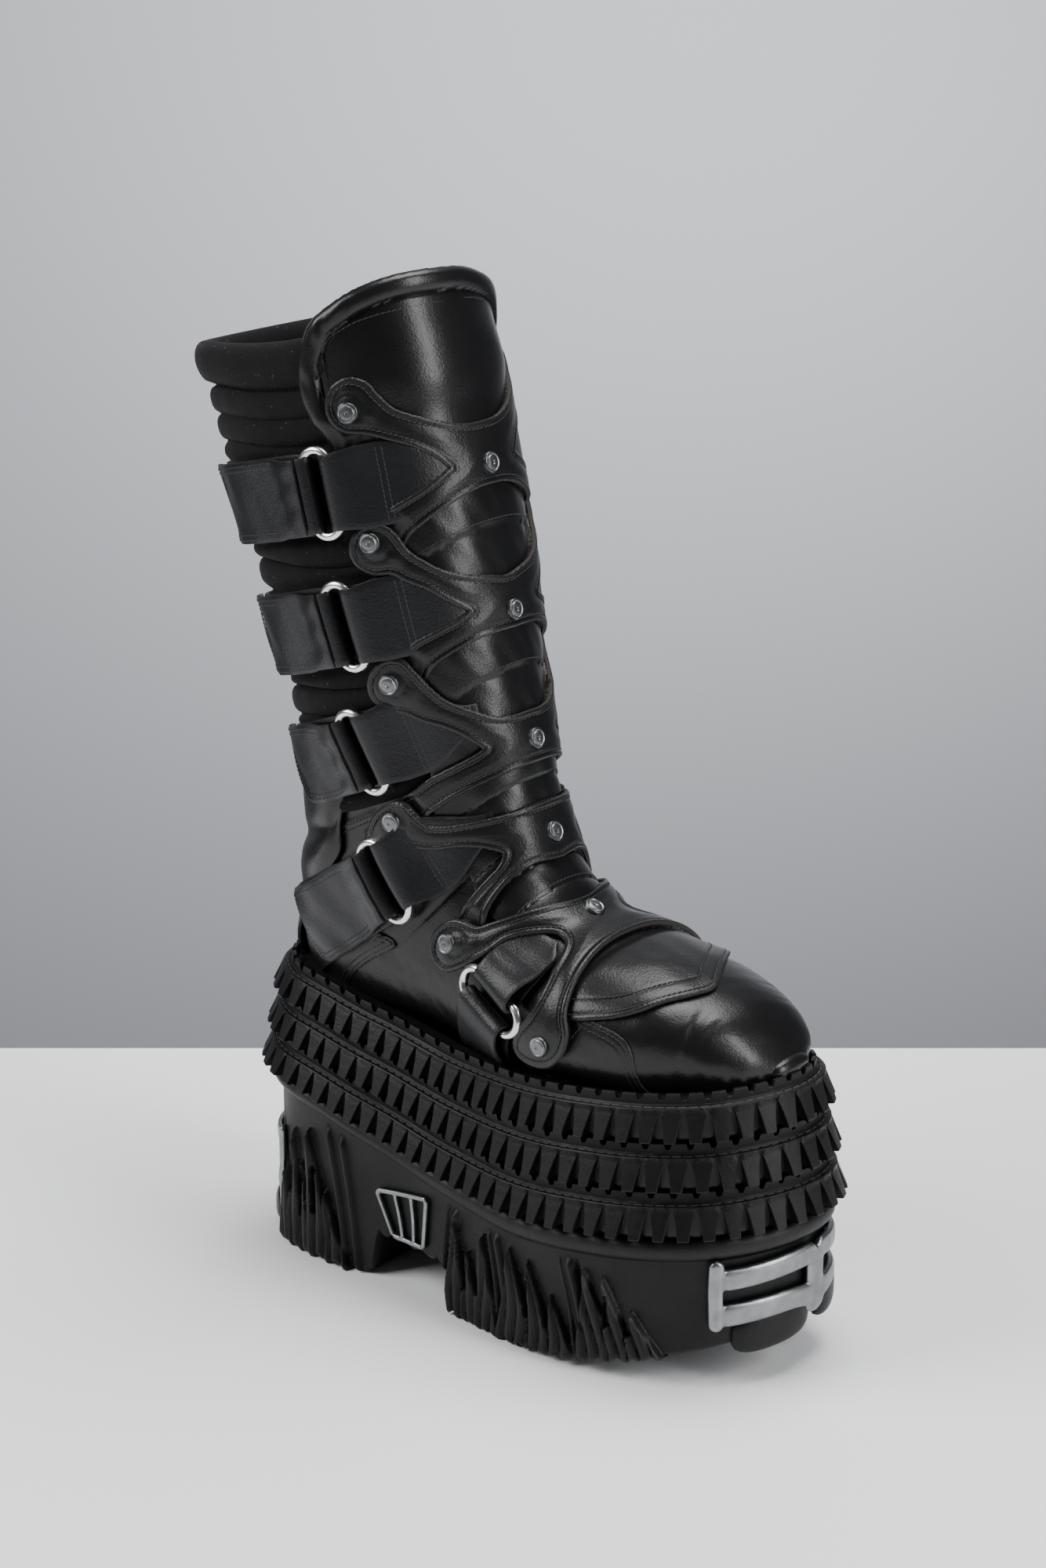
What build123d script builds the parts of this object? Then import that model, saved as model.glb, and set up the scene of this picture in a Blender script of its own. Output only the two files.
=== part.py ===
from build123d import *
import math
import os

# Tall buckled platform boot, right foot. Millimetres.
# +X points to the toe, +Y to the inner side of the leg, +Z up, ground at z = 0.

# ---- driving dimensions ----
CENTRE_SHIFT = 5.64        # moves the finished boot so that its box is centred on x = 0
CENTRE_SHIFT_Y = 0.305     # the same for y

COLLAR_TOP = 458.0         # height of the padded leg opening
STRAP_WIDTH = 38.0         # hook-and-loop strap
STRAP_AT_RING = 32.0       # strap width where it passes through the ring
STRAP_THICK = 2.0
TAB_THICK = 0.8            # skived end of a tab, under the harness
RING_LENGTH = 46.5         # outside length of a ring
RING_WIDTH = 20.0
RING_WIRE = 2.25           # wire radius
WRAP_CLEARANCE = 1.2       # free space round a ring leg inside its loop
LEG_OFFSET = 9.0           # height of a ring leg above the boot's skin
RIVET_RADIUS = 5.0
LOBE_RADIUS = 12.5         # rounded ear of a harness piece

TOOTH_PITCH = 10.8         # spacing of the teeth round the platform
TOOTH_HEIGHT = 11.0
TOOTH_REACH = 10.5
LAYER_FLARE = 3.3          # each lower layer is this much wider
GLUE_LINE = 0.3            # gap between stacked layers
SOLE_GAP = 0.4             # gap between a strap's cut end and the platform

# Cross-sections from the toe to the top of the leg, at the boot's skin:
# front x, front z, back x, back z, half width, squareness, side shift
SECTIONS = [
    (150, 155, 148, 144, 13, 2.1, 12),
    (143, 166, 139, 134, 28, 2.15, 11),
    (127, 179, 121, 131, 40, 2.2, 8),
    (100, 188, 93, 129, 49, 2.4, 3),
    (64, 193, 48, 127, 51, 2.4, 0),
    (36, 200, 1, 127, 45, 2.3, 0),
    (16, 220, -55, 130, 41, 2.35, 0),
    (7, 238, -112, 133, 40, 2.6, 0),
    (1, 258, -132, 170, 40, 2.5, 0),
    (-6, 288, -126, 230, 42, 2.35, 0),
    (-16, 333, -134, 292, 49, 2.3, 0),
    (-28, 392, -154, 359, 54, 2.3, 0),
    (-42, 452, -176, 418, 56, 2.3, 0),
    (-54, 503, -193, 468, 57, 2.3, 0),
    (-58, 520, -198, 485, 57, 2.3, 0),
]

# Plan outline of the platform at its top edge
SOLE_OUTLINE = [
    (-144, 0), (-138, -24), (-118, -41), (-85, -46), (-40, -46), (0, -50), (45, -56),
    (80, -56), (112, -49), (138, -33), (153, -8), (156, 18), (146, 38), (118, 52),
    (75, 56), (25, 50), (-30, 44), (-75, 43), (-115, 39), (-138, 22),
]

# Height of the platform's top edge along the foot: x, z
SOLE_TOP = [(-185, 154), (-110, 152), (-60, 144), (-10, 137), (40, 138), (90, 143), (130, 147), (190, 153)]
# Thickness of one toothed layer along the foot: x, thickness
LAYER_STEP = [(-185, 20), (-110, 20), (-10, 21.5), (40, 23), (90, 23.5), (190, 24)]
# Ground line under the forefoot: x, z
TOE_SPRING = [(40, 0), (80, 4), (110, 10), (140, 18), (180, 30)]
ARCH_BACK = -60.0
ARCH_FRONT = 4.0
ARCH_HEIGHT = 23.0

# Harness pieces in side view: rear ear, front waist, end of the lower arm
HARNESS = [
    ((-67, 448), (-28, 420), (-52, 383)),
    ((-52, 383), (-14, 351), (-41, 317)),
    ((-41, 317), (-4, 284), (-43, 245)),
    ((-43, 245), (9, 234), (-8, 193)),
    ((-8, 193), (42, 203), (54, 160)),
]

# Ring places: station along the leg, angle round the leg from the front
RINGS = [(11.42, 75), (10.42, 79), (9.36, 86), (7.75, 84), (5.0, 84)]
# Angle at which each strap's free end stops
STRAP_STOPS = [141, 143, 141, 131]
# Rivets in the harness ears: station and angle
EAR_RIVETS = [(12.0, 57), (11.0, 60), (9.9, 66), (8.5, 78), (6.1, 77), (4.0, 92)]
# Stations of the rivets on the front centre line
FRONT_RIVETS = [11.4, 10.25, 8.9, 7.0, 5.0]


# ---- the boot's skin ----
def row_at(station):
    """Section values at a fractional station, smooth through the rows."""
    i = min(max(int(station), 0), len(SECTIONS) - 2)
    f = station - i
    before = SECTIONS[max(i - 1, 0)]
    start = SECTIONS[i]
    end = SECTIONS[i + 1]
    after = SECTIONS[min(i + 2, len(SECTIONS) - 1)]
    values = []
    for p, q, r, s in zip(before, start, end, after):
        cubic = -p + 3 * q - 3 * r + s
        square = 2 * p - 5 * q + 4 * r - s
        values.append(0.5 * (2 * q + (r - p) * f + square * f * f + cubic * f**3))
    return values


def skin_point(station, degrees, offset=0.0):
    """Point on the skin; 0 degrees is the front, -90 the outer side, 180 the back."""
    front_x, front_z, back_x, back_z, half, square, shift = row_at(station)
    length = math.hypot(front_x - back_x, front_z - back_z)
    ax = (front_x - back_x) / length
    az = (front_z - back_z) / length
    c = math.cos(math.radians(degrees))
    s = math.sin(math.radians(degrees))
    along = (length / 2 + offset) * math.copysign(abs(c) ** (2 / square), c)
    across = (half + offset) * math.copysign(abs(s) ** (2 / square), s)
    nose = offset * max(0.0, 1 - station / 1.6)
    x = (front_x + back_x) / 2 + along * ax + nose
    z = (front_z + back_z) / 2 + along * az
    return Vector(x, shift + across, z)


def skin_frame(station, degrees, offset=0.0):
    """Point, backward tangent round the leg, direction up the leg, outward normal (outer side)."""
    here = skin_point(station, degrees, offset)
    tangent = (skin_point(station, degrees - 1, offset) - skin_point(station, degrees + 1, offset)).normalized()
    up = (skin_point(station + 0.05, degrees, offset) - skin_point(station - 0.05, degrees, offset)).normalized()
    normal = up.cross(tangent).normalized()
    up = tangent.cross(normal).normalized()
    return here, tangent, up, normal


ANKLE = 6                  # section where the foot and the leg are joined


def section_face(station, offset):
    ring = [skin_point(station, 30 * k, offset) for k in range(12)]
    return Face(Wire([Edge.make_spline(ring, periodic=True)]))


def body(offset):
    """Solid bounded by the skin moved outwards by offset."""
    foot = loft([section_face(station, offset) for station in range(ANKLE + 1)])
    leg = loft([section_face(station, offset) for station in range(ANKLE, len(SECTIONS))])
    return foot + leg


BODIES = {}


def shell(inner, outer):
    """Skin layer between two offsets."""
    for offset in (inner, outer):
        if offset not in BODIES:
            BODIES[offset] = body(offset)
    return BODIES[outer] - BODIES[inner]


def side_prism(sketch):
    """Side-view shape carried straight through the boot."""
    return extrude(Plane.XZ * sketch, amount=150, both=True)


def side_face(points):
    return make_face(Polyline(*points, close=True))


def sole_curve(drop, lift=0.0):
    """Top edge line moved down by a number of layers, then up by lift."""
    points = []
    for x, z in SOLE_TOP:
        points.append((x, z - drop * step_at(x) + lift))
    return points


def step_at(x):
    return value_at(LAYER_STEP, x)


def value_at(table, x):
    """Linear look-up in a short table of x, value pairs."""
    for (x0, v0), (x1, v1) in zip(table, table[1:]):
        if x <= x1:
            return v0 + (v1 - v0) * (x - x0) / (x1 - x0)
    return table[-1][1]


def above_line(points):
    """Everything above a side-view curve."""
    curve = Spline(*points)
    roof = Polyline(points[-1], (points[-1][0], 600), (points[0][0], 600), points[0])
    return side_prism(make_face([curve, roof]))


def between_lines(upper, lower):
    top = Spline(*upper)
    bottom = Spline(*lower)
    ends = [Line(upper[0], lower[0]), Line(upper[-1], lower[-1])]
    return side_prism(make_face([top, bottom] + ends))


# ---- platform ----
def outline_points(offset):
    """Plan outline moved outwards along its own normals."""
    count = len(SOLE_OUTLINE)
    moved = []
    for i, (x, y) in enumerate(SOLE_OUTLINE):
        x0, y0 = SOLE_OUTLINE[i - 1]
        x1, y1 = SOLE_OUTLINE[(i + 1) % count]
        length = math.hypot(x1 - x0, y1 - y0)
        moved.append(Vector(x + offset * (y1 - y0) / length, y - offset * (x1 - x0) / length))
    return moved


def outline_wire(offset):
    return Wire([Edge.make_spline(outline_points(offset), periodic=True)])


def plan_solid(offset, low, high):
    """Platform outline as an upright block."""
    return Pos(0, 0, low) * extrude(Face(outline_wire(offset)), amount=high - low)


def tooth(foot, outward, top):
    """One wedge tooth: wide and shallow at the top, narrow and deep at the bottom."""
    depth_top = 5.5
    depth_bottom = TOOTH_REACH + 2
    plane = Plane(origin=(foot.X, foot.Y, top), x_dir=outward, z_dir=(0, 0, 1))
    upper = plane * Pos(depth_top / 2 - 2, 0) * Rectangle(depth_top, TOOTH_PITCH * 0.9)
    lower = plane * Pos(depth_bottom / 2 - 2, 0, -TOOTH_HEIGHT) * Rectangle(depth_bottom, TOOTH_PITCH * 0.45)
    return loft([upper, lower])


def layer(index):
    """One toothed layer of the platform, counted from the top."""
    flare = LAYER_FLARE * index
    core = plan_solid(flare, 40, 200) & between_lines(sole_curve(index), sole_curve(index + 1, GLUE_LINE))
    edge = outline_wire(flare)
    count = round(edge.length / TOOTH_PITCH)
    teeth = []
    for k in range(count):
        foot = edge.position_at(k / count)
        along = edge.tangent_at(k / count)
        outward = Vector(along.Y, -along.X, 0)
        top = value_at(SOLE_TOP, foot.X) - index * step_at(foot.X) - 6
        teeth.append(tooth(foot, outward, top))
    return core + teeth


def outsole():
    """Moulded tread: heel block, raised arch and sprung forefoot."""
    upper = sole_curve(3)
    top = Spline(*upper)
    tread = Spline(*TOE_SPRING, tangents=[(1, 0), (1, 0.35)])
    under = Polyline(
        (-185, 0), (ARCH_BACK, 0), (ARCH_BACK + 4, ARCH_HEIGHT),
        (ARCH_FRONT - 8, ARCH_HEIGHT), (ARCH_FRONT, 0), TOE_SPRING[0],
    )
    ends = [Line(upper[0], (-185, 0)), Line(upper[-1], TOE_SPRING[-1])]
    profile = make_face([top, under, tread] + ends)
    return plan_solid(6.5, 0, 140) & side_prism(profile)


def sole_band(inner, outer, low, high):
    return plan_solid(outer, low, high) - plan_solid(inner, low - 1, high + 1)


def half_space(x_low, x_high, y_low=-150, y_high=150, z_low=-20, z_high=600):
    size = (x_high - x_low, y_high - y_low, z_high - z_low)
    middle = ((x_high + x_low) / 2, (y_high + y_low) / 2, (z_high + z_low) / 2)
    return Pos(*middle) * Box(*size)


def toe_guard():
    """Metal bumper round the toe with two long slots."""
    band = sole_band(6.7, 10.5, 30, 64) & half_space(139, 190)
    slots = half_space(148, 190, -34, 4, 42, 53) + half_space(148, 190, 20, 58, 42, 53)
    return band - slots


def heel_guard():
    """Metal plate round the back of the heel block."""
    return sole_band(6.7, 10.0, 16, 62) & half_space(-190, -122)


def toe_pads():
    """Rubber bumpers below the toe guard, outer and inner."""
    band = sole_band(6.7, 12.0, 19, 29.5) & half_space(145, 190)
    return band & half_space(120, 190, -60, 9), band & half_space(120, 190, 13, 80)


def heel_pads():
    """Rubber bumpers below the heel guard, outer and inner."""
    band = sole_band(6.7, 11.5, 3, 15.5) & half_space(-190, -120)
    return band & half_space(-190, -100, -80, -2), band & half_space(-190, -100, 2, 80)


def side_badge(side):
    """Plain raised plate on the side of the arch."""
    face = side_face([(-55, 52), (-16, 57), (-22, 28), (-46, 28)])
    band = sole_band(6.7, 9.5, 20, 60) & side_prism(face)
    return band & half_space(-100, 20, -90, 0) if side < 0 else band & half_space(-100, 20, 0, 90)


# ---- shoe upper ----
def upper_layer(inner, outer, profile=None):
    """Skin layer above the platform, limited to a side-view profile."""
    piece = shell(inner, outer) & ABOVE_SOLE
    return piece & side_prism(profile) if profile else piece


def liner():
    """Padded inner sock, open at the top."""
    collar = half_space(-230, 200, z_low=100, z_high=COLLAR_TOP)
    return upper_layer(-4, -1) & collar


def vamp():
    return upper_layer(-0.8, 1.2, side_face([(58, 100), (62, 150), (76, 215), (220, 215), (220, 100)]))


def quarter(side):
    """Side panel from the heel to the vamp and up to the ankle."""
    profile = side_face([(-170, 100), (57, 100), (61, 150), (70, 194), (-20, 200), (-60, 228), (-170, 236)])
    panel = upper_layer(-0.8, 1.2, profile)
    return panel & half_space(-200, 200, -100, -0.2) if side < 0 else panel & half_space(-200, 200, 0.2, 100)


def heel_counter():
    profile = side_face([(-170, 100), (-92, 100), (-80, 158), (-92, 172), (-100, 186), (-170, 190)])
    return upper_layer(1.4, 3.0, profile)


def back_stay():
    """Leather spine from the heel counter up to the quilted panel."""
    spine = upper_layer(1.5, 3.1, side_face([(-170, 193), (-100, 190), (-104, 228), (-170, 230)]))
    return spine & half_space(-200, 0, -26, 26)


def ribbed_panel():
    """Quilted neoprene panel round the back of the leg."""
    profile = side_face([(-60, 232), (-76, 330), (-100, 380), (-104, COLLAR_TOP), (-240, COLLAR_TOP), (-200, 238)])
    return upper_layer(-0.8, 1.8, profile)


SHIELD_EDGE = [(-78, 432), (-88, 456), (-84, 482), (-72, 497), (-50, 508), (0, 512)]


def tongue():
    """Padded front of the leg, from the instep to the top of the shin."""
    edge = Spline(*SHIELD_EDGE)
    rest = Polyline(
        (0, 512), (60, 512), (60, 206), (-20, 206), (-58, 238), (-73, 330), (-97, 380), (-92, 410), (-78, 432),
    )
    return upper_layer(-0.8, 2.8, make_face([edge, rest]))


def shin_shield():
    """Moulded shield over the top of the tongue, standing above the collar."""
    edge = Spline(*SHIELD_EDGE)
    rest = Polyline((0, 512), (40, 512), (40, 440), (-10, 440), (-78, 432))
    return upper_layer(3.4, 5.4, make_face([edge, rest]))


def tongue_flap():
    """Leather flap from the ankle down over the instep."""
    edge = Spline((64, 166), (76, 178), (92, 186), (114, 184))
    rest = Polyline((114, 184), (140, 240), (49, 240), (49, 208), (52, 180), (64, 166))
    return upper_layer(1.6, 3.3, make_face([edge, rest]))


def arm(start, start_radius, end, end_radius):
    """Tapered band between two points, rounded at both ends."""
    circles = Pos(*start) * Circle(start_radius) + Pos(*end) * Circle(end_radius)
    return make_hull(circles.edges())


def harness_profile(index):
    ear, waist, tip = HARNESS[index]
    shape = Pos(*ear) * Circle(LOBE_RADIUS)
    shape += arm(ear, 9, waist, 15)
    shape += arm(waist, 15, tip, 9)
    shape += Pos(*waist) * Rot(0, 0, forward_angle(index)) * Pos(18, 0) * Rectangle(36, 30)
    return shape


def ring_window(index):
    """Side-view clearance round a ring that lies between the arms of its harness piece."""
    here, back, up, out = outward_frame(*RINGS[index], -1)
    tilt = math.degrees(math.atan2(up.Z, up.X))
    return Pos(here.X, here.Z) * Rot(0, 0, tilt) * Rectangle(RING_LENGTH + 6, RING_WIDTH + 6)


def forward_angle(index):
    """Direction in which a harness piece faces at the front, in side view."""
    front_x, front_z, back_x, back_z = row_at(FRONT_RIVETS[index])[:4]
    return math.degrees(math.atan2(front_z - back_z, front_x - back_x))


def harness(index):
    """Moulded leather saddle over the front of the leg."""
    profile = harness_profile(index)
    if index < len(HARNESS) - 1:
        ear, waist, tip = HARNESS[index + 1]
        profile -= Pos(*ear) * Circle(LOBE_RADIUS + 0.5)
        profile -= arm(ear, 9.5, waist, 15.5)
    else:
        profile += Pos(*HARNESS[index][2]) * Circle(11)
        profile -= ring_window(index)
    return upper_layer(5.7, 8.8, profile)


def rivet_at(station, degrees):
    """Domed rivet head standing on a harness piece."""
    side = 1 if degrees > 0 else -1
    here, back, up, out = outward_frame(station, degrees, side)
    head = Cylinder(RIVET_RADIUS, 1.8, align=(Align.CENTER, Align.CENTER, Align.MIN))
    head = chamfer(head.faces().sort_by(Axis.Z)[-1].edges(), 0.7)
    return Plane(origin=here + out * 8.9, x_dir=up, z_dir=out) * head


def ear_rivets(side):
    return Compound([rivet_at(station, side * degrees) for station, degrees in EAR_RIVETS])


def front_rivets():
    return Compound([rivet_at(station, -0.01) for station in FRONT_RIVETS])


# ---- straps, tabs and rings ----
HALF_LEG = RING_WIDTH / 2 - RING_WIRE
WRAP_RADIUS = RING_WIRE + WRAP_CLEARANCE + STRAP_THICK / 2
INNER_PLY = LEG_OFFSET - WRAP_RADIUS
STRAP_STEPS = 20           # flat steps of a strap from a ring to the back of the leg


def outward_frame(station, degrees, side):
    """Point, backward, upward and outward directions; side -1 is the outer side."""
    here, back, up, out = skin_frame(station, -abs(degrees), 0)
    if side > 0:
        here = Vector(here.X, 2 * row_at(station)[6] - here.Y, here.Z)
        back = Vector(back.X, -back.Y, back.Z)
        up = Vector(up.X, -up.Y, up.Z)
        out = Vector(out.X, -out.Y, out.Z)
    return here, back, up, out


def ribbon(stations):
    """Flat strip lofted through stations of centre, across, normal, width and thickness."""
    sections = []
    for centre, across, normal, width, thick in stations:
        plane = Plane(origin=centre, x_dir=across, z_dir=across.cross(normal))
        sections.append(plane * Rectangle(width, thick))
    return loft(sections, ruled=True)


def on_skin(station, degrees, height, width, side, thick=STRAP_THICK):
    """Ribbon station lying on the skin, facing outwards."""
    here, back, up, out = outward_frame(station, degrees, side)
    return here + out * height, up, out, width, thick


def under_ring(station, degrees, width, side, thick=STRAP_THICK):
    """Station of the ply that passes under a ring, facing the skin."""
    here, back, up, out = outward_frame(station, degrees, side)
    return here + out * INNER_PLY, up, -out, width, thick


def ring_leg(index, side, behind):
    """Centre of a ring leg; behind is 1 for the rear leg and -1 for the front one."""
    station, degrees = RINGS[index]
    here, back, up, out = outward_frame(station, degrees, side)
    return here + out * LEG_OFFSET + back * (behind * HALF_LEG), back, up, out


def fold(index, side, behind, width):
    """Strip bent round a ring leg, from under it to outside it."""
    leg, back, up, out = ring_leg(index, side, behind)
    inwards = back * -behind
    stations = []
    for k in range(9):
        angle = math.radians(172 - 21.5 * k)
        normal = out * math.cos(angle) + inwards * math.sin(angle)
        stations.append((leg + normal * WRAP_RADIUS, up, normal, width, STRAP_THICK))
    return stations


def strap_ring(index, side):
    """Long ring of round wire."""
    station, degrees = RINGS[index]
    here, back, up, out = outward_frame(station, degrees, side)
    plane = Plane(origin=here + out * LEG_OFFSET, x_dir=up, z_dir=out)
    frame = RectangleRounded(RING_LENGTH - 2 * RING_WIRE, RING_WIDTH - 2 * RING_WIRE, 6.5)
    path = plane * frame.wire()
    start = Plane(origin=path.position_at(0), z_dir=path.tangent_at(0))
    return sweep(start * Circle(RING_WIRE), path=path)


def strap_tab(index, side):
    """Leather tab from under the harness, folded round the front leg of a ring."""
    station, degrees = RINGS[index]
    lead = []
    for k in range(8):
        lead.append(under_ring(station, degrees - 50 + 4 * k, 16 + 2 * k, side, TAB_THICK))
    tail = [
        on_skin(station, degrees - 14, 11.6, 25, side),
        on_skin(station, degrees - 18, 10.2, 21, side),
    ]
    return ribbon(lead + fold(index, side, -1, STRAP_AT_RING) + tail)


def strap_base(index):
    """Strap from the inner ring round the back of the leg to the outer ring."""
    station, degrees = RINGS[index]
    start = degrees + 15
    halves = []
    for side in (1, -1):
        half = list(reversed(fold(index, side, 1, STRAP_AT_RING)))
        for k in range(STRAP_STEPS):
            angle = start + (180 - start) * k / STRAP_STEPS
            width = STRAP_WIDTH if k > 0 else STRAP_AT_RING + 2
            half.append(under_ring(station, angle, width, side))
        halves.append(half)
    middle = [under_ring(station, 180, STRAP_WIDTH, -1)]
    strap = ribbon(halves[0] + middle + list(reversed(halves[1])))
    return strap & above_line(lifted(SOLE_GAP)) if index == 3 else strap


def strap_end(index):
    """Free end of the strap, folded back over its own base."""
    station, degrees = RINGS[index]
    leg, back, up, out = ring_leg(index, -1, 1)
    stations = [(leg + out * WRAP_RADIUS + back * 1.1, up, out, STRAP_AT_RING, STRAP_THICK)]
    start = degrees + 15
    for k in range(11):
        angle = start + (STRAP_STOPS[index] - start) * k / 10
        height = 8.1 + 3.4 * max(0.0, 1 - k / 4) ** 1.5
        width = STRAP_WIDTH if k > 0 else STRAP_AT_RING + 3
        stations.append(on_skin(station, angle, height, width, -1))
    return ribbon(stations)


def strap_patch(index, first, height, thick):
    """Thin fastening patch between the strap and its free end."""
    station, degrees = RINGS[index]
    last = STRAP_STOPS[index] - 3
    stations = []
    for k in range(9):
        angle = first + (last - first) * k / 8
        stations.append(on_skin(station, angle, height, STRAP_WIDTH - 10, -1, thick))
    return ribbon(stations)


def hook_patch(index):
    return strap_patch(index, RINGS[index][1] + 32, 6.6, 0.4)


def loop_patches():
    return Compound([strap_patch(index, RINGS[index][1] + 24, 5.92, 0.24) for index in range(4)])


def sole_strap(side):
    """Leather strap from the lowest ring down to the platform's edge."""
    station, degrees = RINGS[4]
    tail = [on_skin(station, degrees + 14, 10.0, 26, side), on_skin(station, degrees + 19, 7.4, 26, side)]
    lead = [under_ring(station, angle, 29, side) for angle in (136, 122, 108)]
    return ribbon(lead + fold(4, side, 1, 30) + tail) & above_line(lifted(SOLE_GAP))


# ---- inside the boot ----
def insole_board():
    """Stiff board on the platform, inside the upper."""
    return plan_solid(-17, 100, 200) & between_lines(lifted(2.8), lifted(0.1)) & body(-4.9)


def footbed():
    return plan_solid(-16, 100, 200) & between_lines(lifted(7.0), lifted(3.0)) & body(-4.9)


def lifted(height):
    return [(x, z + height) for x, z in SOLE_TOP]


def export(name, shape):
    """Write one sub-part in the centred frame."""
    solids = [Pos(CENTRE_SHIFT, CENTRE_SHIFT_Y, 0) * solid for solid in shape.solids()]
    export_step(Compound(solids) if len(solids) > 1 else solids[0], "parts/" + name + ".step")


ABOVE_SOLE = above_line(SOLE_TOP)


def main():
    os.makedirs("parts", exist_ok=True)
    export("outsole", outsole())
    export("midsole_upper", layer(0))
    export("midsole_middle", layer(1))
    export("midsole_lower", layer(2))
    export("toe_guard", toe_guard())
    export("heel_guard", heel_guard())
    for name, pads in (("toe_pad", toe_pads()), ("heel_pad", heel_pads())):
        export(name + "_outer", pads[0])
        export(name + "_inner", pads[1])
    export("insole_board", insole_board())
    export("footbed", footbed())
    export("liner", liner())
    export("vamp", vamp())
    export("heel_counter", heel_counter())
    export("back_stay", back_stay())
    export("ribbed_panel", ribbed_panel())
    export("tongue", tongue())
    export("shin_shield", shin_shield())
    export("tongue_flap", tongue_flap())
    for side, word in ((-1, "outer"), (1, "inner")):
        export("quarter_" + word, quarter(side))
        export("side_badge_" + word, side_badge(side))
        export("harness_rivets_" + word, ear_rivets(side))
        export("sole_strap_" + word, sole_strap(side))
    export("harness_rivets_front", front_rivets())
    for index in range(5):
        number = str(index + 1)
        export("harness_" + number, harness(index))
        export("strap_tab_" + number, strap_tab(index, -1))
        export("ring_" + number, strap_ring(index, -1))
    for index in range(4):
        number = str(index + 1)
        export("strap_base_" + number, strap_base(index))
        export("strap_end_" + number, strap_end(index))
        export("hook_patch_" + number, hook_patch(index))
    export("loop_patches", loop_patches())
    export("strap_tabs_inner", Compound([strap_tab(index, 1) for index in range(5)]))
    export("rings_inner", Compound([strap_ring(index, 1) for index in range(5)]))


main()
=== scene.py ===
import math

import bpy
import numpy as np
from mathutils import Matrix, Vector, kdtree


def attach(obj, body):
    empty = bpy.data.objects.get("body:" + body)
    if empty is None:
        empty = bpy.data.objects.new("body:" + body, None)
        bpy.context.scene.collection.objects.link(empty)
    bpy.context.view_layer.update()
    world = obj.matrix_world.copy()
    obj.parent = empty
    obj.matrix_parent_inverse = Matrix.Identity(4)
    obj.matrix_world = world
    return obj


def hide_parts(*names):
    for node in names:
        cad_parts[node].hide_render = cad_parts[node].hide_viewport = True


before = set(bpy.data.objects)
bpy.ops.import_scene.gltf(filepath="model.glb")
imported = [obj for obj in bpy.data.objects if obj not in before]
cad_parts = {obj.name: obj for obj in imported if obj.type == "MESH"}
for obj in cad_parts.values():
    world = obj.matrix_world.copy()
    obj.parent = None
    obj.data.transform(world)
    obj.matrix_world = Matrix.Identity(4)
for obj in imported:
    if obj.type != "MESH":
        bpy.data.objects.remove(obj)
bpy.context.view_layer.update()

# Everything below works in millimetres in the boot's own frame and is scaled once, when a mesh is made.
MM = 0.001
SHIFT = np.array([5.64, 0.305, 0.0])
RNG = np.random.default_rng(7)

# ------------------------------------------------------------------ meshes


def new_object(name, verts, faces, materials, face_slots, sharp):
    """Smooth-shaded mesh object from arrays in millimetres; edges over `sharp` degrees stay crisp."""
    mesh = bpy.data.meshes.new(name)
    verts = (np.asarray(verts, float) + SHIFT) * MM
    mesh.from_pydata(verts.tolist(), [], [list(map(int, f)) for f in faces])
    for material in materials:
        mesh.materials.append(material)
    mesh.polygons.foreach_set("material_index", np.asarray(face_slots, np.int32))
    mesh.validate()
    mesh.polygons.foreach_set("use_smooth", [True] * len(mesh.polygons))
    mesh.set_sharp_from_angle(angle=math.radians(sharp))
    mesh.update()
    obj = bpy.data.objects.new(name, mesh)
    bpy.context.scene.collection.objects.link(obj)
    return obj


def finish_piece(obj, body, nodes=()):
    """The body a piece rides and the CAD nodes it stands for."""
    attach(obj, body)
    if nodes:
        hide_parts(*nodes)
    return obj


def grid_faces(rows, cols, close_rows=False, close_cols=False, start=0):
    """Quads of a rows x cols grid of vertices."""
    r = np.arange(rows if close_rows else rows - 1)
    c = np.arange(cols if close_cols else cols - 1)
    rr, cc = np.meshgrid(r, c, indexing="ij")
    r1 = (rr + 1) % rows
    c1 = (cc + 1) % cols
    quads = np.stack([rr * cols + cc, rr * cols + c1, r1 * cols + c1, r1 * cols + cc], -1)
    return quads.reshape(-1, 4) + start


class Build:
    """Collects several pieces of geometry into one mesh."""

    def __init__(self):
        self.verts = []
        self.faces = []
        self.slots = []
        self.count = 0

    def add(self, verts, faces, slot=0):
        verts = np.asarray(verts, float).reshape(-1, 3)
        start = self.count
        self.verts.append(verts)
        self.count += len(verts)
        for face in faces:
            self.face(face, slot, start)
        return start

    def face(self, ids, slot=0, start=0):
        """One face over vertices that are already in, counted from a starting vertex."""
        self.faces.append([int(i) + start for i in ids])
        self.slots.append(slot)

    def tube(self, rings, flip=False, slot=0):
        """Stack of equal rings of vertices, skinned and capped at both ends."""
        rings = np.asarray(rings, float)
        rows, cols = rings.shape[:2]
        faces = grid_faces(rows, cols, close_cols=True)[:, ::-1 if flip else 1].tolist()
        last = (rows - 1) * cols
        low, high = list(range(cols))[::-1], [last + i for i in range(cols)]
        if flip:
            low, high = low[::-1], high[::-1]
        self.add(rings, faces + [low, high], slot)

    def make(self, name, materials, sharp=40):
        return new_object(name, np.concatenate(self.verts), self.faces, materials, self.slots, sharp)

    def piece(self, name, materials, nodes=(), slot="black_leather", body="boot", sharp=40, fill=None):
        """Finished mesh piece of the boot; its fill is not used."""
        obj = self.make(name, materials, sharp)
        return finish_piece(obj, body, nodes)

    def stitches(self, name, slot="black_leather", body="boot"):
        """Finished rows of stitches, which ride with the leather they hold."""
        return self.piece(f"{name}_stitches", [THREAD], (), slot, body)


def smoothstep(x):
    x = np.clip(x, 0.0, 1.0)
    return x * x * (3 - 2 * x)


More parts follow.
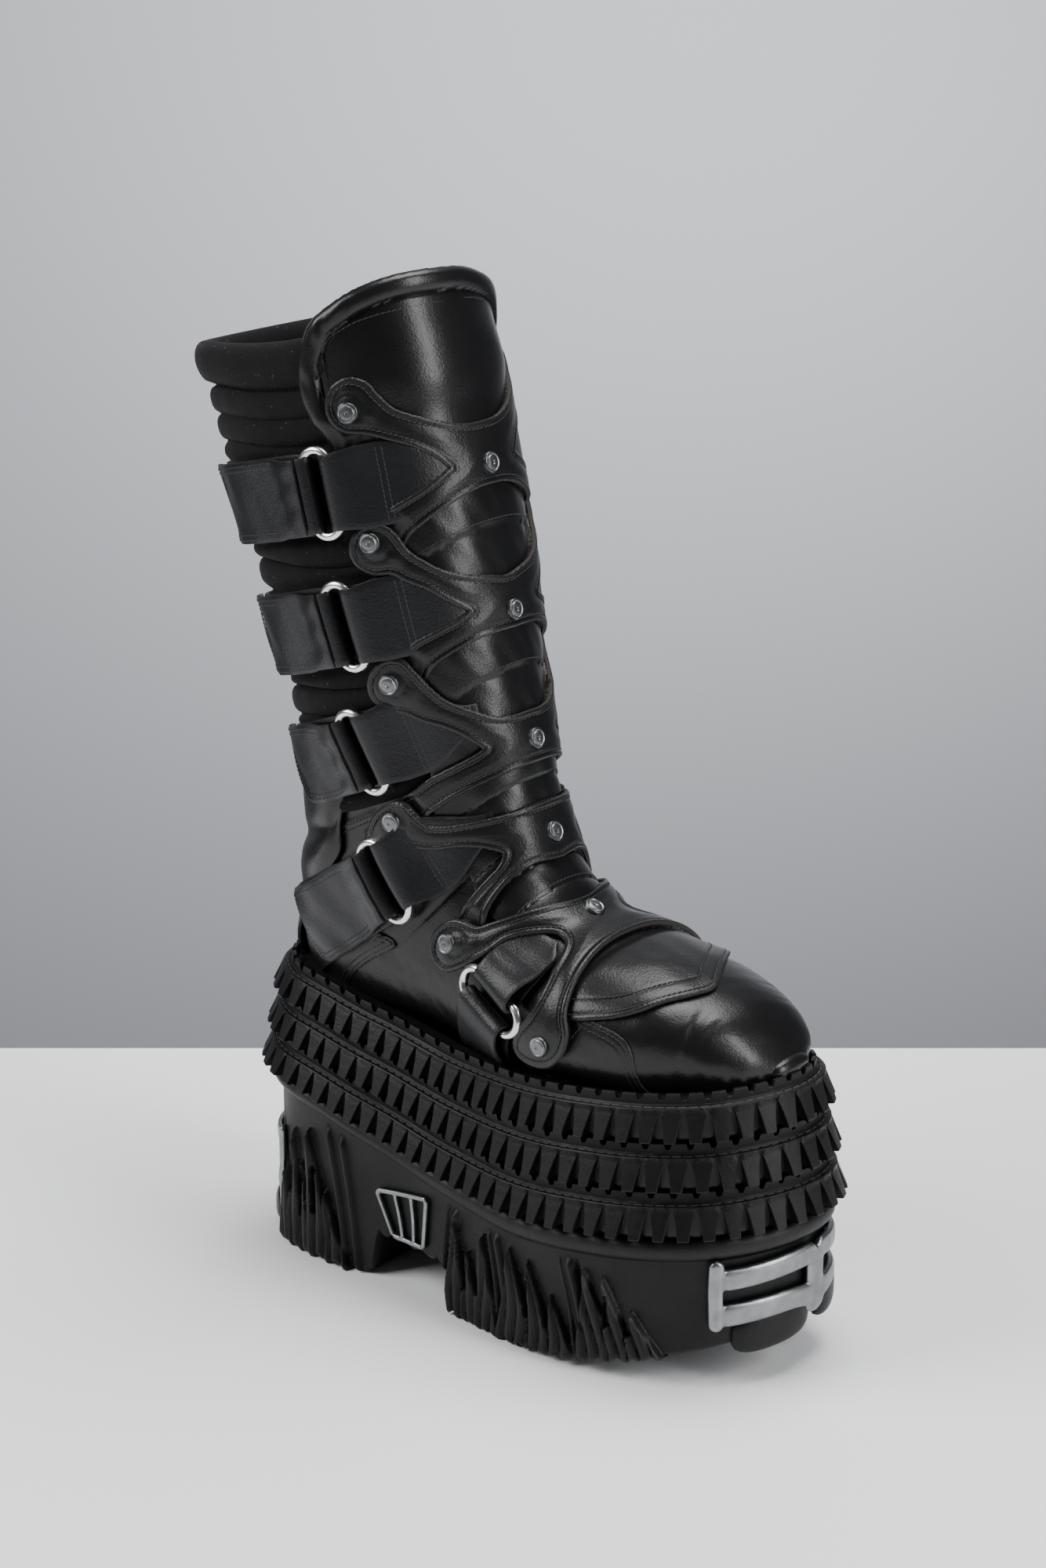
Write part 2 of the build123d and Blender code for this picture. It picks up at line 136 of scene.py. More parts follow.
def unit(v):
    return v / np.maximum(np.linalg.norm(v, axis=-1, keepdims=True), 1e-9)


def run_length(points):
    """Distance travelled at each point of a polyline."""
    return np.concatenate([[0], np.cumsum(np.linalg.norm(np.diff(points, axis=0), axis=1))])


def lap_length(points):
    """The same round a closed polyline, with the full lap at the end."""
    return run_length(np.concatenate([points, points[:1]]))


def signed_power(value, power):
    return np.sign(value) * np.abs(value) ** power


def circle_angles(count):
    return np.linspace(0, 2 * math.pi, count, endpoint=False)


def bell(x, width):
    """Smooth bump: 1 at zero, fading over a width."""
    return np.exp(-(x / width) ** 2)


# ------------------------------------------------------------------ curves


def spline(a, b, c, d, f):
    """Catmull-Rom value at fraction f between b and c."""
    return 0.5 * (2 * b + (c - a) * f + (2 * a - 5 * b + 4 * c - d) * f**2 + (-a + 3 * b - 3 * c + d) * f**3)


def catmull(points, per=12, closed=False):
    """Smooth curve through points."""
    p = np.asarray(points, float)
    n = len(p)
    f = np.linspace(0, 1, per, endpoint=False)[:, None]
    out = []
    for i in range(n if closed else n - 1):
        around = [i - 1, i, i + 1, i + 2]
        ids = [k % n if closed else min(max(k, 0), n - 1) for k in around]
        out.append(spline(*p[ids], f))
    if not closed:
        out.append(p[-1:])
    return np.concatenate(out)


def resample(points, step=None, count=None, closed=False):
    """Evenly spaced points along a polyline."""
    p = np.asarray(points, float)
    if closed:
        p = np.concatenate([p, p[:1]])
    s = run_length(p)
    if count is None:
        count = max(int(round(s[-1] / step)), 2)
    t = np.linspace(0, s[-1], count, endpoint=not closed)
    return np.stack([np.interp(t, s, p[:, k]) for k in range(p.shape[1])], 1)


# ------------------------------------------------------------------ the boot's skin

# One row per station from the toe up the leg: front x and z, back x and z, half width, roundness, sideways shift
SECTIONS = np.array([
    (150, 155, 148, 144, 13, 2.1, 12),
    (143, 166, 139, 134, 28, 2.15, 11),
    (127, 179, 121, 131, 40, 2.2, 8),
    (100, 188, 93, 129, 49, 2.4, 3),
    (64, 193, 48, 127, 51, 2.4, 0),
    (36, 200, 1, 127, 45, 2.3, 0),
    (16, 220, -55, 130, 41, 2.35, 0),
    (7, 238, -112, 133, 40, 2.6, 0),
    (1, 258, -132, 170, 40, 2.5, 0),
    (-6, 288, -126, 230, 42, 2.35, 0),
    (-16, 333, -134, 292, 49, 2.3, 0),
    (-28, 392, -154, 359, 54, 2.3, 0),
    (-42, 452, -176, 418, 56, 2.3, 0),
    (-54, 503, -193, 468, 57, 2.3, 0),
    (-58, 520, -198, 485, 57, 2.3, 0),
], float)


def rows_at(u):
    """Section values at fractional stations."""
    u = np.asarray(u, float)
    n = len(SECTIONS)
    i = np.clip(np.floor(u).astype(int), 0, n - 2)
    f = (u - i)[..., None]
    return spline(SECTIONS[np.maximum(i - 1, 0)], SECTIONS[i], SECTIONS[i + 1], SECTIONS[np.minimum(i + 2, n - 1)], f)


def base_point(u, t):
    """Skin point; t in degrees, 0 front, -90 outer side, 180 back. Stations below 0 round off the toe."""
    u, t = np.broadcast_arrays(np.asarray(u, float), np.asarray(t, float))
    nose = np.clip(-u, 0, 1)
    r = rows_at(np.maximum(u, 0))
    fx, fz, bx, bz, half, sq, shift = [r[..., k] for k in range(7)]
    length = np.hypot(fx - bx, fz - bz)
    ax = (fx - bx) / length
    az = (fz - bz) / length
    c = np.cos(np.radians(t))
    s = np.sin(np.radians(t))
    shrink = np.sqrt(np.maximum(1 - nose**2, 0))
    along = length / 2 * signed_power(c, 2 / sq) * shrink
    across = half * signed_power(s, 2 / sq) * shrink
    x = (fx + bx) / 2 + along * ax + 5.0 * nose
    z = (fz + bz) / 2 + along * az
    return np.stack([x, shift + across, z], -1)


def skin(u, t, height=0.0):
    """Point at a height above the skin, along its normal."""
    p = base_point(u, t)
    return p + skin_normal(u, t) * np.asarray(height, float)[..., None]


def skin_normal(u, t):
    u, t = np.broadcast_arrays(np.asarray(u, float), np.asarray(t, float))
    du = base_point(u + 0.03, t) - base_point(u - 0.03, t)
    dt = base_point(u, t + 1.5) - base_point(u, t - 1.5)
    return unit(np.cross(dt, du))


def skin_axes(u, t):
    """Derivatives of the skin by station and by degree, in millimetres."""
    du = (base_point(u + 0.02, t) - base_point(u - 0.02, t)) / 0.04
    dt = (base_point(u, t + 1.0) - base_point(u, t - 1.0)) / 2.0
    return du, dt


def slide(u, t, vector):
    """Station and angle after moving by a small vector along the skin."""
    du, dt = skin_axes(u, t)
    a = (du * du).sum(-1)
    b = (du * dt).sum(-1)
    c = (dt * dt).sum(-1)
    p = (vector * du).sum(-1)
    q = (vector * dt).sum(-1)
    det = a * c - b * b
    return u + (p * c - q * b) / det, t + (q * a - p * b) / det


# ------------------------------------------------------------------ the platform's outline

SOLE_OUTLINE = np.array([
    (-144, 0), (-138, -24), (-118, -41), (-85, -46), (-40, -46), (0, -50), (45, -56),
    (80, -56), (112, -49), (138, -33), (153, -8), (156, 18), (146, 38), (118, 52),
    (75, 56), (25, 50), (-30, 44), (-75, 43), (-115, 39), (-138, 22),
], float)
SOLE_TOP = [(-185, 154), (-110, 152), (-60, 144), (-10, 137), (40, 138), (90, 143), (130, 147), (190, 153)]
LAYER_STEP = [(-185, 20), (-110, 20), (-10, 21.5), (40, 23), (90, 23.5), (190, 24)]
GROUND = [(-190, 0), (0, 0), (20, 0), (40, 0), (60, 1.4), (80, 4), (110, 10), (140, 18), (180, 30)]
LAYER_FLARE = 3.3


def smooth_table(table):
    """Function giving a smooth curve through x, value pairs."""
    curve = catmull(table, 24)
    return lambda x: np.interp(x, curve[:, 0], curve[:, 1])


sole_top = smooth_table(SOLE_TOP)
layer_step = smooth_table(LAYER_STEP)
ground = smooth_table(GROUND)


def loop_normals(p):
    """Outward normals of a closed anticlockwise outline."""
    tangent = unit(np.roll(p, -1, 0) - np.roll(p, 1, 0))
    return np.stack([tangent[:, 1], -tangent[:, 0]], 1)


def outline(offset, count=None, step=None):
    """Plan outline moved outwards, with outward normals, running anticlockwise from the heel."""
    p = resample(catmull(SOLE_OUTLINE, 24, closed=True), step=1.0, closed=True)
    normal = loop_normals(p)
    for _ in range(3):
        normal = unit(np.roll(normal, 1, 0) + 2 * normal + np.roll(normal, -1, 0))
    q = resample(p + normal * offset, step=step, count=count, closed=True)
    return q, loop_normals(q)

# ------------------------------------------------------------------ materials


class Nodes:
    """Short way to write a material's node tree."""

    def __init__(self, name):
        self.material = bpy.data.materials.new(name)
        self.material.use_nodes = True
        self.tree = self.material.node_tree
        self.shader = self.tree.nodes["Principled BSDF"]
        self.coord = self.tree.nodes.new("ShaderNodeTexCoord").outputs["Object"]

    def node(self, kind, inputs=None, **settings):
        made = self.tree.nodes.new(kind)
        for key, value in settings.items():
            setattr(made, key, value)
        for key, value in (inputs or {}).items():
            self.put(made.inputs[key], value)
        return made

    def put(self, socket, value):
        if isinstance(value, bpy.types.NodeSocket):
            self.tree.links.new(value, socket)
        else:
            socket.default_value = value

    def set(self, **inputs):
        for key, value in inputs.items():
            self.put(self.shader.inputs[key.replace("_", " ")], value)

    def stretched(self, stretch):
        if stretch is None:
            return self.coord
        return self.node("ShaderNodeMapping", {"Vector": self.coord, "Scale": stretch}).outputs[0]

    def noise(self, scale, detail=4.0, rough=0.55, stretch=None):
        inputs = {"Vector": self.stretched(stretch), "Scale": scale, "Detail": detail, "Roughness": rough}
        return self.node("ShaderNodeTexNoise", inputs).outputs["Fac"]

    def cells(self, scale):
        return self.node("ShaderNodeTexVoronoi", {"Vector": self.coord, "Scale": scale}).outputs["Distance"]

    def math(self, what, a, b=0.0):
        made = self.node("ShaderNodeMath", operation=what)
        self.put(made.inputs[0], a)
        self.put(made.inputs[1], b)
        return made.outputs[0]

    def layers(self, *parts):
        """Weighted sum of (value, weight) parts, as a bump height."""
        total = None
        for value, weight in parts:
            scaled = value if weight == 1 else self.math("MULTIPLY", value, weight)
            total = scaled if total is None else self.math("ADD", total, scaled)
        return total

    def ramp(self, value, stops):
        made = self.node("ShaderNodeValToRGB", {"Fac": value})
        ramp = made.color_ramp
        while len(ramp.elements) < len(stops):
            ramp.elements.new(0.5)
        for element, (place, tone) in zip(ramp.elements, stops):
            element.position = place
            element.color = (tone, tone, tone, 1)
        return made.outputs["Color"]

    def colour_mix(self, factor, a, b, amount=1.0):
        made = self.tree.nodes.new("ShaderNodeMix")
        made.data_type = "RGBA"
        if amount != 1.0:
            factor = self.math("MULTIPLY", factor, amount)
        self.put(made.inputs[0], factor)
        for socket, value in ((made.inputs[6], a), (made.inputs[7], b)):
            if not isinstance(value, bpy.types.NodeSocket):
                value = (*value, 1)
            self.put(socket, value)
        return made.outputs[2]

    def bump(self, height, strength=0.3, distance=0.0005):
        made = self.node("ShaderNodeBump", {"Height": height, "Strength": strength, "Distance": distance})
        return made.outputs["Normal"]

    def pointiness(self):
        return self.node("ShaderNodeNewGeometry").outputs["Pointiness"]


def plain_material(name, colour, roughness):
    m = Nodes(name)
    m.set(Base_Color=(*colour, 1), Roughness=roughness)
    return m.material


def leather(name, dark=(0.0025, 0.0025, 0.0028), light=(0.006, 0.006, 0.0066), rough=(0.3, 0.46), depth=0.25,
            coat=0.05):
    """Fine-grained black leather: pebbled grain, faint scuffs, worn lighter edges."""
    m = Nodes(name)
    grain = 900.0
    tone = m.noise(22, 5, 0.6)
    scuff = m.ramp(m.noise(60, 8, 0.7, stretch=(1, 1, 3.5)), [(0.56, 0.0), (0.72, 1.0)])
    edge = m.ramp(m.pointiness(), [(0.515, 0.0), (0.60, 1.0)])
    base = m.colour_mix(tone, dark, light)
    worn = m.colour_mix(edge, base, (0.03, 0.03, 0.032), 0.5)
    height = m.layers((m.cells(grain), 0.8), (m.noise(grain * 1.6, 3), 0.35), (m.cells(grain * 0.37), 0.4),
                      (m.noise(130, 4, 0.6), 1.3))
    patchy = m.layers((tone, 0.6), (scuff, 0.25))
    m.set(Base_Color=worn, Roughness=m.ramp(patchy, [(0.15, rough[0]), (0.75, rough[1])]),
          Normal=m.bump(height, depth, 0.0004))
    m.set(Specular_IOR_Level=0.30, Coat_Weight=coat, Coat_Roughness=0.32)
    return m.material


def raw_edge():
    """Cut leather edge: brown-grey fibres."""
    m = Nodes("raw_edge")
    fibre = m.noise(900, 4, 0.7)
    m.set(Base_Color=m.colour_mix(fibre, (0.008, 0.007, 0.0065), (0.035, 0.03, 0.027)), Roughness=0.85,
          Normal=m.bump(fibre, 0.6, 0.0003))
    return m.material


def rubber(name, base=(0.0022, 0.0022, 0.0025), dusty=(0.006, 0.006, 0.0066), rough=(0.36, 0.55)):
    """Moulded rubber: matte, lightly mottled, dusty on its raised edges."""
    m = Nodes(name)
    mottle = m.noise(180, 7, 0.7)
    edge = m.ramp(m.pointiness(), [(0.505, 0.0), (0.58, 1.0)])
    colour = m.colour_mix(m.ramp(mottle, [(0.42, 0.0), (0.72, 1.0)]), base, dusty, 0.45)
    colour = m.colour_mix(edge, colour, (0.035, 0.035, 0.037), 0.5)
    speck = m.ramp(m.noise(1400, 2, 0.5), [(0.66, 0.0), (0.74, 1.0)])
    colour = m.colour_mix(speck, colour, (0.04, 0.04, 0.042), 0.2)
    height = m.layers((m.noise(700, 5, 0.65), 1), (m.noise(150, 5, 0.6), 1.6))
    m.set(Base_Color=colour, Roughness=m.ramp(m.noise(35, 4, 0.6), [(0.25, rough[0]), (0.75, rough[1])]),
          Normal=m.bump(height, 0.32, 0.0005))
    m.set(Specular_IOR_Level=0.22)
    return m.material


def metal(name, colour, rough, patina=0.0):
    """Nickel or aged silver, with a dark patina in its hollows."""
    m = Nodes(name)
    cloud = m.noise(160, 6, 0.65)
    fine = m.noise(900, 4, 0.6, stretch=(1, 1, 6))
    hollow = m.ramp(m.pointiness(), [(0.44, 1.0), (0.52, 0.0)])
    clouded = m.ramp(cloud, [(0.4, 0.0), (0.72, 1.0)])
    tint = m.colour_mix(clouded, colour, tuple(c * 0.55 for c in colour), 0.5)
    if patina:
        tint = m.colour_mix(hollow, tint, (0.03, 0.032, 0.033), patina)
    m.set(Base_Color=tint, Roughness=m.ramp(cloud, [(0.3, rough[0]), (0.75, rough[1])]),
          Normal=m.bump(fine, 0.08, 0.0002))
    m.set(Metallic=1.0)
    return m.material


def neoprene(name="neoprene_knit"):
    """Stretch knit over foam: fine ribs, dusty sheen, a few specks of lint."""
    m = Nodes(name)
    ribs = {"Vector": m.coord, "Scale": 330.0, "Distortion": 1.5, "Detail": 2.0, "Detail Scale": 3.0}
    knit = m.node("ShaderNodeTexWave", ribs, bands_direction="Z").outputs["Fac"]
    fuzz = m.noise(1500, 4, 0.7)
    lint = m.ramp(m.noise(520, 2, 0.4), [(0.715, 0.0), (0.74, 1.0)])
    colour = m.colour_mix(m.noise(28, 5, 0.6), (0.0045, 0.004, 0.0045), (0.011, 0.010, 0.011))
    colour = m.colour_mix(m.ramp(fuzz, [(0.45, 0.0), (0.7, 1.0)]), colour, (0.02, 0.018, 0.02), 0.5)
    colour = m.colour_mix(lint, colour, (0.1, 0.1, 0.1), 0.6)
    height = m.layers((knit, 0.5), (fuzz, 1))
    m.set(Base_Color=colour, Roughness=0.92, Normal=m.bump(height, 0.35, 0.0004))
    m.set(Sheen_Weight=0.06, Sheen_Roughness=0.4, Specular_IOR_Level=0.1)
    return m.material


def thread_material(name="thread", light=(0.02, 0.02, 0.022)):
    """Twisted sewing thread."""
    m = Nodes(name)
    twist = m.noise(2600, 2, 0.6)
    m.set(Base_Color=m.colour_mix(twist, (0.012, 0.012, 0.014), light), Roughness=0.62,
          Normal=m.bump(twist, 0.5, 0.0002))
    return m.material


LEATHER = leather("black_leather")
SMOOTH_LEATHER = leather("smooth_leather", rough=(0.26, 0.4), depth=0.16, coat=0.08)
SOFT_LEATHER = leather("soft_leather", dark=(0.0035, 0.0036, 0.0042), light=(0.008, 0.0083, 0.0095),
                       rough=(0.34, 0.5), depth=0.32, coat=0.03)
EDGE = raw_edge()
RUBBER = rubber("black_rubber")
GLOSS_RUBBER = rubber("gloss_rubber", (0.004, 0.004, 0.0045), (0.008, 0.008, 0.009), (0.2, 0.3))
SMOOTH_RUBBER = rubber("smooth_rubber", (0.004, 0.004, 0.0045), (0.007, 0.007, 0.0075), (0.4, 0.52))
HOOKS = rubber("hook_tape_hooks", (0.006, 0.006, 0.0065), (0.02, 0.02, 0.021), (0.55, 0.7))
BOARD = rubber("pressed_board", (0.10, 0.085, 0.07), (0.16, 0.14, 0.12), (0.8, 0.95))
NICKEL = metal("nickel", (0.80, 0.80, 0.79), (0.16, 0.28))
SILVER = metal("antique_silver", (0.27, 0.28, 0.285), (0.28, 0.44), patina=0.85)
KNIT = neoprene()
LOOPS = neoprene("hook_tape_loops")
THREAD = thread_material()
WELT_THREAD = thread_material("welt_thread", (0.05, 0.05, 0.053))

# ------------------------------------------------------------------ pieces cut to an outline on the skin


def skin_loop(points):
    """Closed smooth outline through (station, degrees) points, evenly spaced about every 0.7 mm."""
    return resample_on_skin(catmull(points, 14, closed=True), 0.7, closed=True)


def resample_on_skin(path, step, closed=False):
    """Evenly spaced (station, degrees) points along a path on the skin."""
    if closed:
        path = np.concatenate([path, path[:1]])
    s = run_length(base_point(path[:, 0], path[:, 1]))
    count = max(int(s[-1] / step), 3)
    t = np.linspace(0, s[-1], count, endpoint=not closed)
    return np.stack([np.interp(t, s, path[:, 0]), np.interp(t, s, path[:, 1])], 1)


def mirrored(half, middle=0.0):
    """Whole outline from its outer half, mirrored about a middle angle."""
    other = [(u, 2 * middle - t) for u, t in half[::-1] if abs(t - middle) > 0.01]
    return half + other


def flipped(points):
    """The same outline on the boot's inner side."""
    return [(u, -t) for u, t in points]


def inside_loop(u, t, loop):
    """Even-odd test in station and degrees."""
    inside = np.zeros(u.shape, bool)
    for (u0, t0), (u1, t1) in zip(loop, np.roll(loop, -1, 0)):
        if t0 == t1:
            continue
        between = (t0 > t) != (t1 > t)
        inside ^= between & (u < (u1 - u0) * (t - t0) / (t1 - t0) + u0)
    return inside


def tree_of(points):
    tree = kdtree.KDTree(len(points))
    for i, q in enumerate(points):
        tree.insert(q, i)
    tree.balance()
    return tree


def above_sole(p):
    """Height of skin points over the line where the upper meets the platform."""
    return p[:, 2] - (sole_top(p[:, 0]) - 4.0)


class Patch:
    """Triangulated part of the skin inside one outline."""

    def __init__(self, loop, cell=1.1, trim=None):
        self.loop = loop
        u0, t0 = loop.min(0)
        u1, t1 = loop.max(0)
        nu = max(int(self.length_along(loop) / cell), 6)
        nt = max(int((t1 - t0) * 0.98 / cell), 6)
        stations, angles = np.linspace(u0 - 0.01, u1 + 0.01, nu), np.linspace(t0 - 0.6, t1 + 0.6, nt)
        uu, tt = np.meshgrid(stations, angles, indexing="ij")
        self.u = uu.reshape(-1)
        self.t = tt.reshape(-1)
        faces = grid_faces(nu, nt)
        tris = np.concatenate([faces[:, [0, 1, 2]], faces[:, [0, 2, 3]]])
        f = self.distance(self.u, self.t)
        if trim is not None:
            f = np.minimum(f, trim(base_point(self.u, self.t)))
        self.f = f
        self.clip(tris[(f[tris] > 0).any(1)])

    def length_along(self, loop):
        """Longest way across the outline in the direction of the stations."""
        stations = np.linspace(loop[:, 0].min(), loop[:, 0].max(), 20)
        angles = np.linspace(loop[:, 1].min(), loop[:, 1].max(), 5)
        return max(run_length(base_point(stations, t))[-1] for t in angles)

    def distance(self, u, t):
        """Distance in millimetres to the outline, positive inside."""
        tree = tree_of(base_point(self.loop[:, 0], self.loop[:, 1]))
        dist = np.array([tree.find(q)[2] for q in base_point(u, t)])
        return np.where(inside_loop(u, t, self.loop), dist, -dist)

    def clip(self, tris):
        """Cuts triangles along the outline."""
        f = self.f
        new_u, new_t = [], []
        cache = {}
        base = len(self.u)

        def cut(i, j):
            key = (i, j) if i < j else (j, i)
            if key not in cache:
                k = f[i] / (f[i] - f[j])
                new_u.append(self.u[i] + (self.u[j] - self.u[i]) * k)
                new_t.append(self.t[i] + (self.t[j] - self.t[i]) * k)
                cache[key] = base + len(new_u) - 1
            return cache[key]

        whole = (f[tris] > 0).all(1)
        out = tris[whole].tolist()
        for tri in tris[~whole].tolist():
            poly = []
            for a, b in zip(tri, tri[1:] + tri[:1]):
                if f[a] > 0:
                    poly.append(a)
                if (f[a] > 0) != (f[b] > 0):
                    poly.append(cut(a, b))
            for k in range(1, len(poly) - 1):
                if len({poly[0], poly[k], poly[k + 1]}) == 3:
                    out.append([poly[0], poly[k], poly[k + 1]])
        u = np.concatenate([self.u, new_u])
        t = np.concatenate([self.t, new_t])
        ff = np.concatenate([np.maximum(f, 0), np.zeros(len(new_u))])
        tris = np.array(out)
        used = np.unique(tris)
        remap = np.full(len(u), -1)
        remap[used] = np.arange(len(used))
        self.u, self.t, self.f = u[used], t[used], ff[used]
        self.tris = remap[tris]
        self.base = base_point(self.u, self.t)
        self.normal = skin_normal(self.u, self.t)
        p = self.base
        n = np.cross(p[self.tris[:, 1]] - p[self.tris[:, 0]], p[self.tris[:, 2]] - p[self.tris[:, 0]])
        if (n * self.normal[self.tris[:, 0]]).sum() < 0:
            self.tris = self.tris[:, ::-1]
        edges = {(a, b) for tri in self.tris.tolist() for a, b in zip(tri, tri[1:] + tri[:1])}
        self.rim = [(a, b) for a, b in edges if (b, a) not in edges]
        inward = np.zeros_like(p)
        for a, b in self.rim:
            d = np.cross(self.normal[a], p[b] - p[a])
            inward[a] += d
            inward[b] += d
        self.inward = unit(inward)

    def solid(self, build, low, high, slots=(0, 1, 0), round_edge=0.6, edge=1.7, tuck=0.7, drop=0.35):
        """Closed piece between two height fields: face, cut edge, and a tucked-in wall below it."""
        low = np.broadcast_to(low, self.f.shape)
        high = np.broadcast_to(high, self.f.shape)
        lift = high - drop * np.clip(1 - self.f / max(round_edge, 0.01), 0, 1) ** 2
        r = np.array(sorted({i for pair in self.rim for i in pair}))
        place = {i: k for k, i in enumerate(r.tolist())}
        n = len(self.base)
        m = len(r)
        cut_low = np.maximum(lift[r] - edge, low[r])
        top = self.base + self.normal * lift[:, None]
        under = self.base[r] + self.normal[r] * cut_low[:, None]
        tucked = under + self.inward[r] * tuck - self.normal[r] * 0.05
        foot = self.base[r] + self.normal[r] * low[r][:, None] + self.inward[r] * tuck
        bottom = self.base + self.normal * low[:, None]
        bottom[r] = foot
        start = build.add(np.concatenate([top, under, tucked, bottom]), self.tris, slots[0])
        shift = n + 2 * m
        for a, b, c in self.tris.tolist():
            build.face([a, c, b], slots[2], start + shift)
        for a, b in self.rim:
            i, j = place[a], place[b]
            build.face([b, a, n + i, n + j], slots[1], start)
            build.face([n + j, n + i, n + m + i, n + m + j], slots[1], start)
            build.face([n + m + j, n + m + i, a + shift, b + shift], slots[2], start)


def inset_path(loop, inset):
    """Path a distance inside a closed outline, and which of its points are clear of the other edges."""
    p = base_point(loop[:, 0], loop[:, 1])
    n = skin_normal(loop[:, 0], loop[:, 1])
    inward = np.cross(n, unit(np.roll(p, -2, 0) - np.roll(p, 2, 0)))
    trial = slide(loop[:, 0], loop[:, 1], inward * 0.5)
    if inside_loop(*trial, loop).mean() < 0.5:
        inward = -inward
    u, t = slide(loop[:, 0], loop[:, 1], inward * inset)
    tree = tree_of(p)
    ok = np.array([tree.find(v)[2] > inset * 0.86 for v in base_point(u, t)])
    return np.stack([u, t], 1), ok


STITCH_SKEW = 0.12


def stitch_points(build, p, n, ok=None, pitch=2.6, length=1.8, radius=0.28):
    """Row of stitches along points in space with the surface's normals there."""
    s = run_length(p)
    seg = np.diff(s)
    count = int(s[-1] / pitch)
    for i in range(count):
        mid = (i + 0.5) * s[-1] / count
        j = int(np.clip(np.searchsorted(s, mid), 1, len(s) - 1))
        if seg[j - 1] > 4 or (ok is not None and not (ok[j] and ok[j - 1])):
            continue
        a, b = [np.array([np.interp(mid + way * length / 2, s, p[:, c]) for c in range(3)]) for way in (-1, 1)]
        skew = np.cross(n[j], unit(b - a)) * STITCH_SKEW
        capsule(build, a - skew, b + skew, radius)


def stitch_run(build, path, height, ok=None, **options):
    """Row of stitches along a (station, degrees) path."""
    height = np.broadcast_to(height, len(path))
    p = skin(path[:, 0], path[:, 1], height)
    stitch_points(build, p, skin_normal(path[:, 0], path[:, 1]), ok, **options)


def stitch_line(build, points, height, **options):
    """Row of stitches along a smooth line through (station, degrees) points."""
    path = resample_on_skin(catmull(points, 12), 0.8)
    stitch_run(build, path, height, **options)


def groove(f, at, depth=0.4, width=0.6):
    return -depth * bell(f - at, width)


def waves(p, scale, seed=0):
    """Smooth, repeatable unevenness from a few sines, about -1 to 1."""
    rng = np.random.default_rng(seed)
    out = np.zeros(p.shape[:-1])
    for _ in range(7):
        w = rng.normal(0, 1, 3)
        w = w / np.linalg.norm(w) * (0.6 + 1.1 * rng.random()) * 2 * math.pi / scale
        out += np.sin((p * w).sum(-1) + rng.random() * 6.28) / 7
    return out * 1.8


# ------------------------------------------------------------------ the platform


def ring_position(points, normals, s, r):
    """Plan position at fractional index s round the outline, moved outwards by r."""
    n = len(points)
    i = np.floor(s).astype(int) % n
    f = (s - np.floor(s))[..., None]
    p = points[i] * (1 - f) + points[(i + 1) % n] * f
    m = unit(normals[i] * (1 - f) + normals[(i + 1) % n] * f)
    return p + m * r[..., None]


TOOTH_PITCH = 10.8
RIM_DROP = 6.5
LAYER_DEPTH = 20.6
NOTCH_DEPTH = 2.9
STITCH_PITCH = 5.2
# Rows of a layer's profile: kind, outward distance, drop below the rim's top
LAYER_PROFILE = [
    ("in", -13.0, 4.5), ("in", -3.0, 4.5),
    ("notch", -2.2, 0.3), ("notch", -1.9, 0.0), ("notch", -0.3, 0.0), ("notch", 0.1, 0.35),
    ("wall", 0.35, 4.9), ("wall", 0.7, 5.3), ("wall", 1.1, 5.2), ("wall", 1.5, 5.9), ("wall", 2.2, 6.1),
    ("wall", 2.8, 5.7), ("wall", 3.3, 5.5), ("wall", 4.3, 5.75), ("wall", 4.7, 6.2),
    ("tooth", 4.9, 7.0), ("tooth", 5.5, 8.0), ("tooth", 6.5, 10.2), ("tooth", 7.9, 13.2), ("tooth", 9.4, 16.3),
    ("tooth", 10.1, 17.9), ("tooth", 9.9, 18.4),
    ("under", 3.0, 18.9), ("under", -2.4, 18.7), ("under", -4.0, 20.5), ("in", -13.0, 20.6),
]
# Columns of one tooth, as shares of the pitch; the first, second and last lie in the gap beside it
COLUMNS = np.array([-0.5, -0.405, -0.31, -0.25, -0.12, 0.0, 0.12, 0.25, 0.31, 0.405])
GAP = np.array([1, 1, 0, 0, 0, 0, 0, 0, 0, 1], bool)
CORNER = np.array([0, 0, 1, 0, 0, 0, 0, 0, 1, 0], bool)


def tooth_columns(drop, jitter):
    """Places of the columns across each wedge tooth, narrowing towards its tip, and how far its gaps stand out."""
    fall = np.clip((drop - 6.6) / 11.6, 0, 1)
    wide = np.clip(0.5 * (1 - 0.56 * fall**0.62) + jitter * 0.008 * fall, 0.05, 0.497)
    bevel = 0.028
    columns = [0 * wide - 0.5, -wide - 0.004, -wide, -wide + bevel, -wide * 0.5, 0 * wide, wide * 0.5, wide - bevel,
               wide, wide + 0.004]
    return np.concatenate(columns, 1), 3.9 - 1.2 * fall


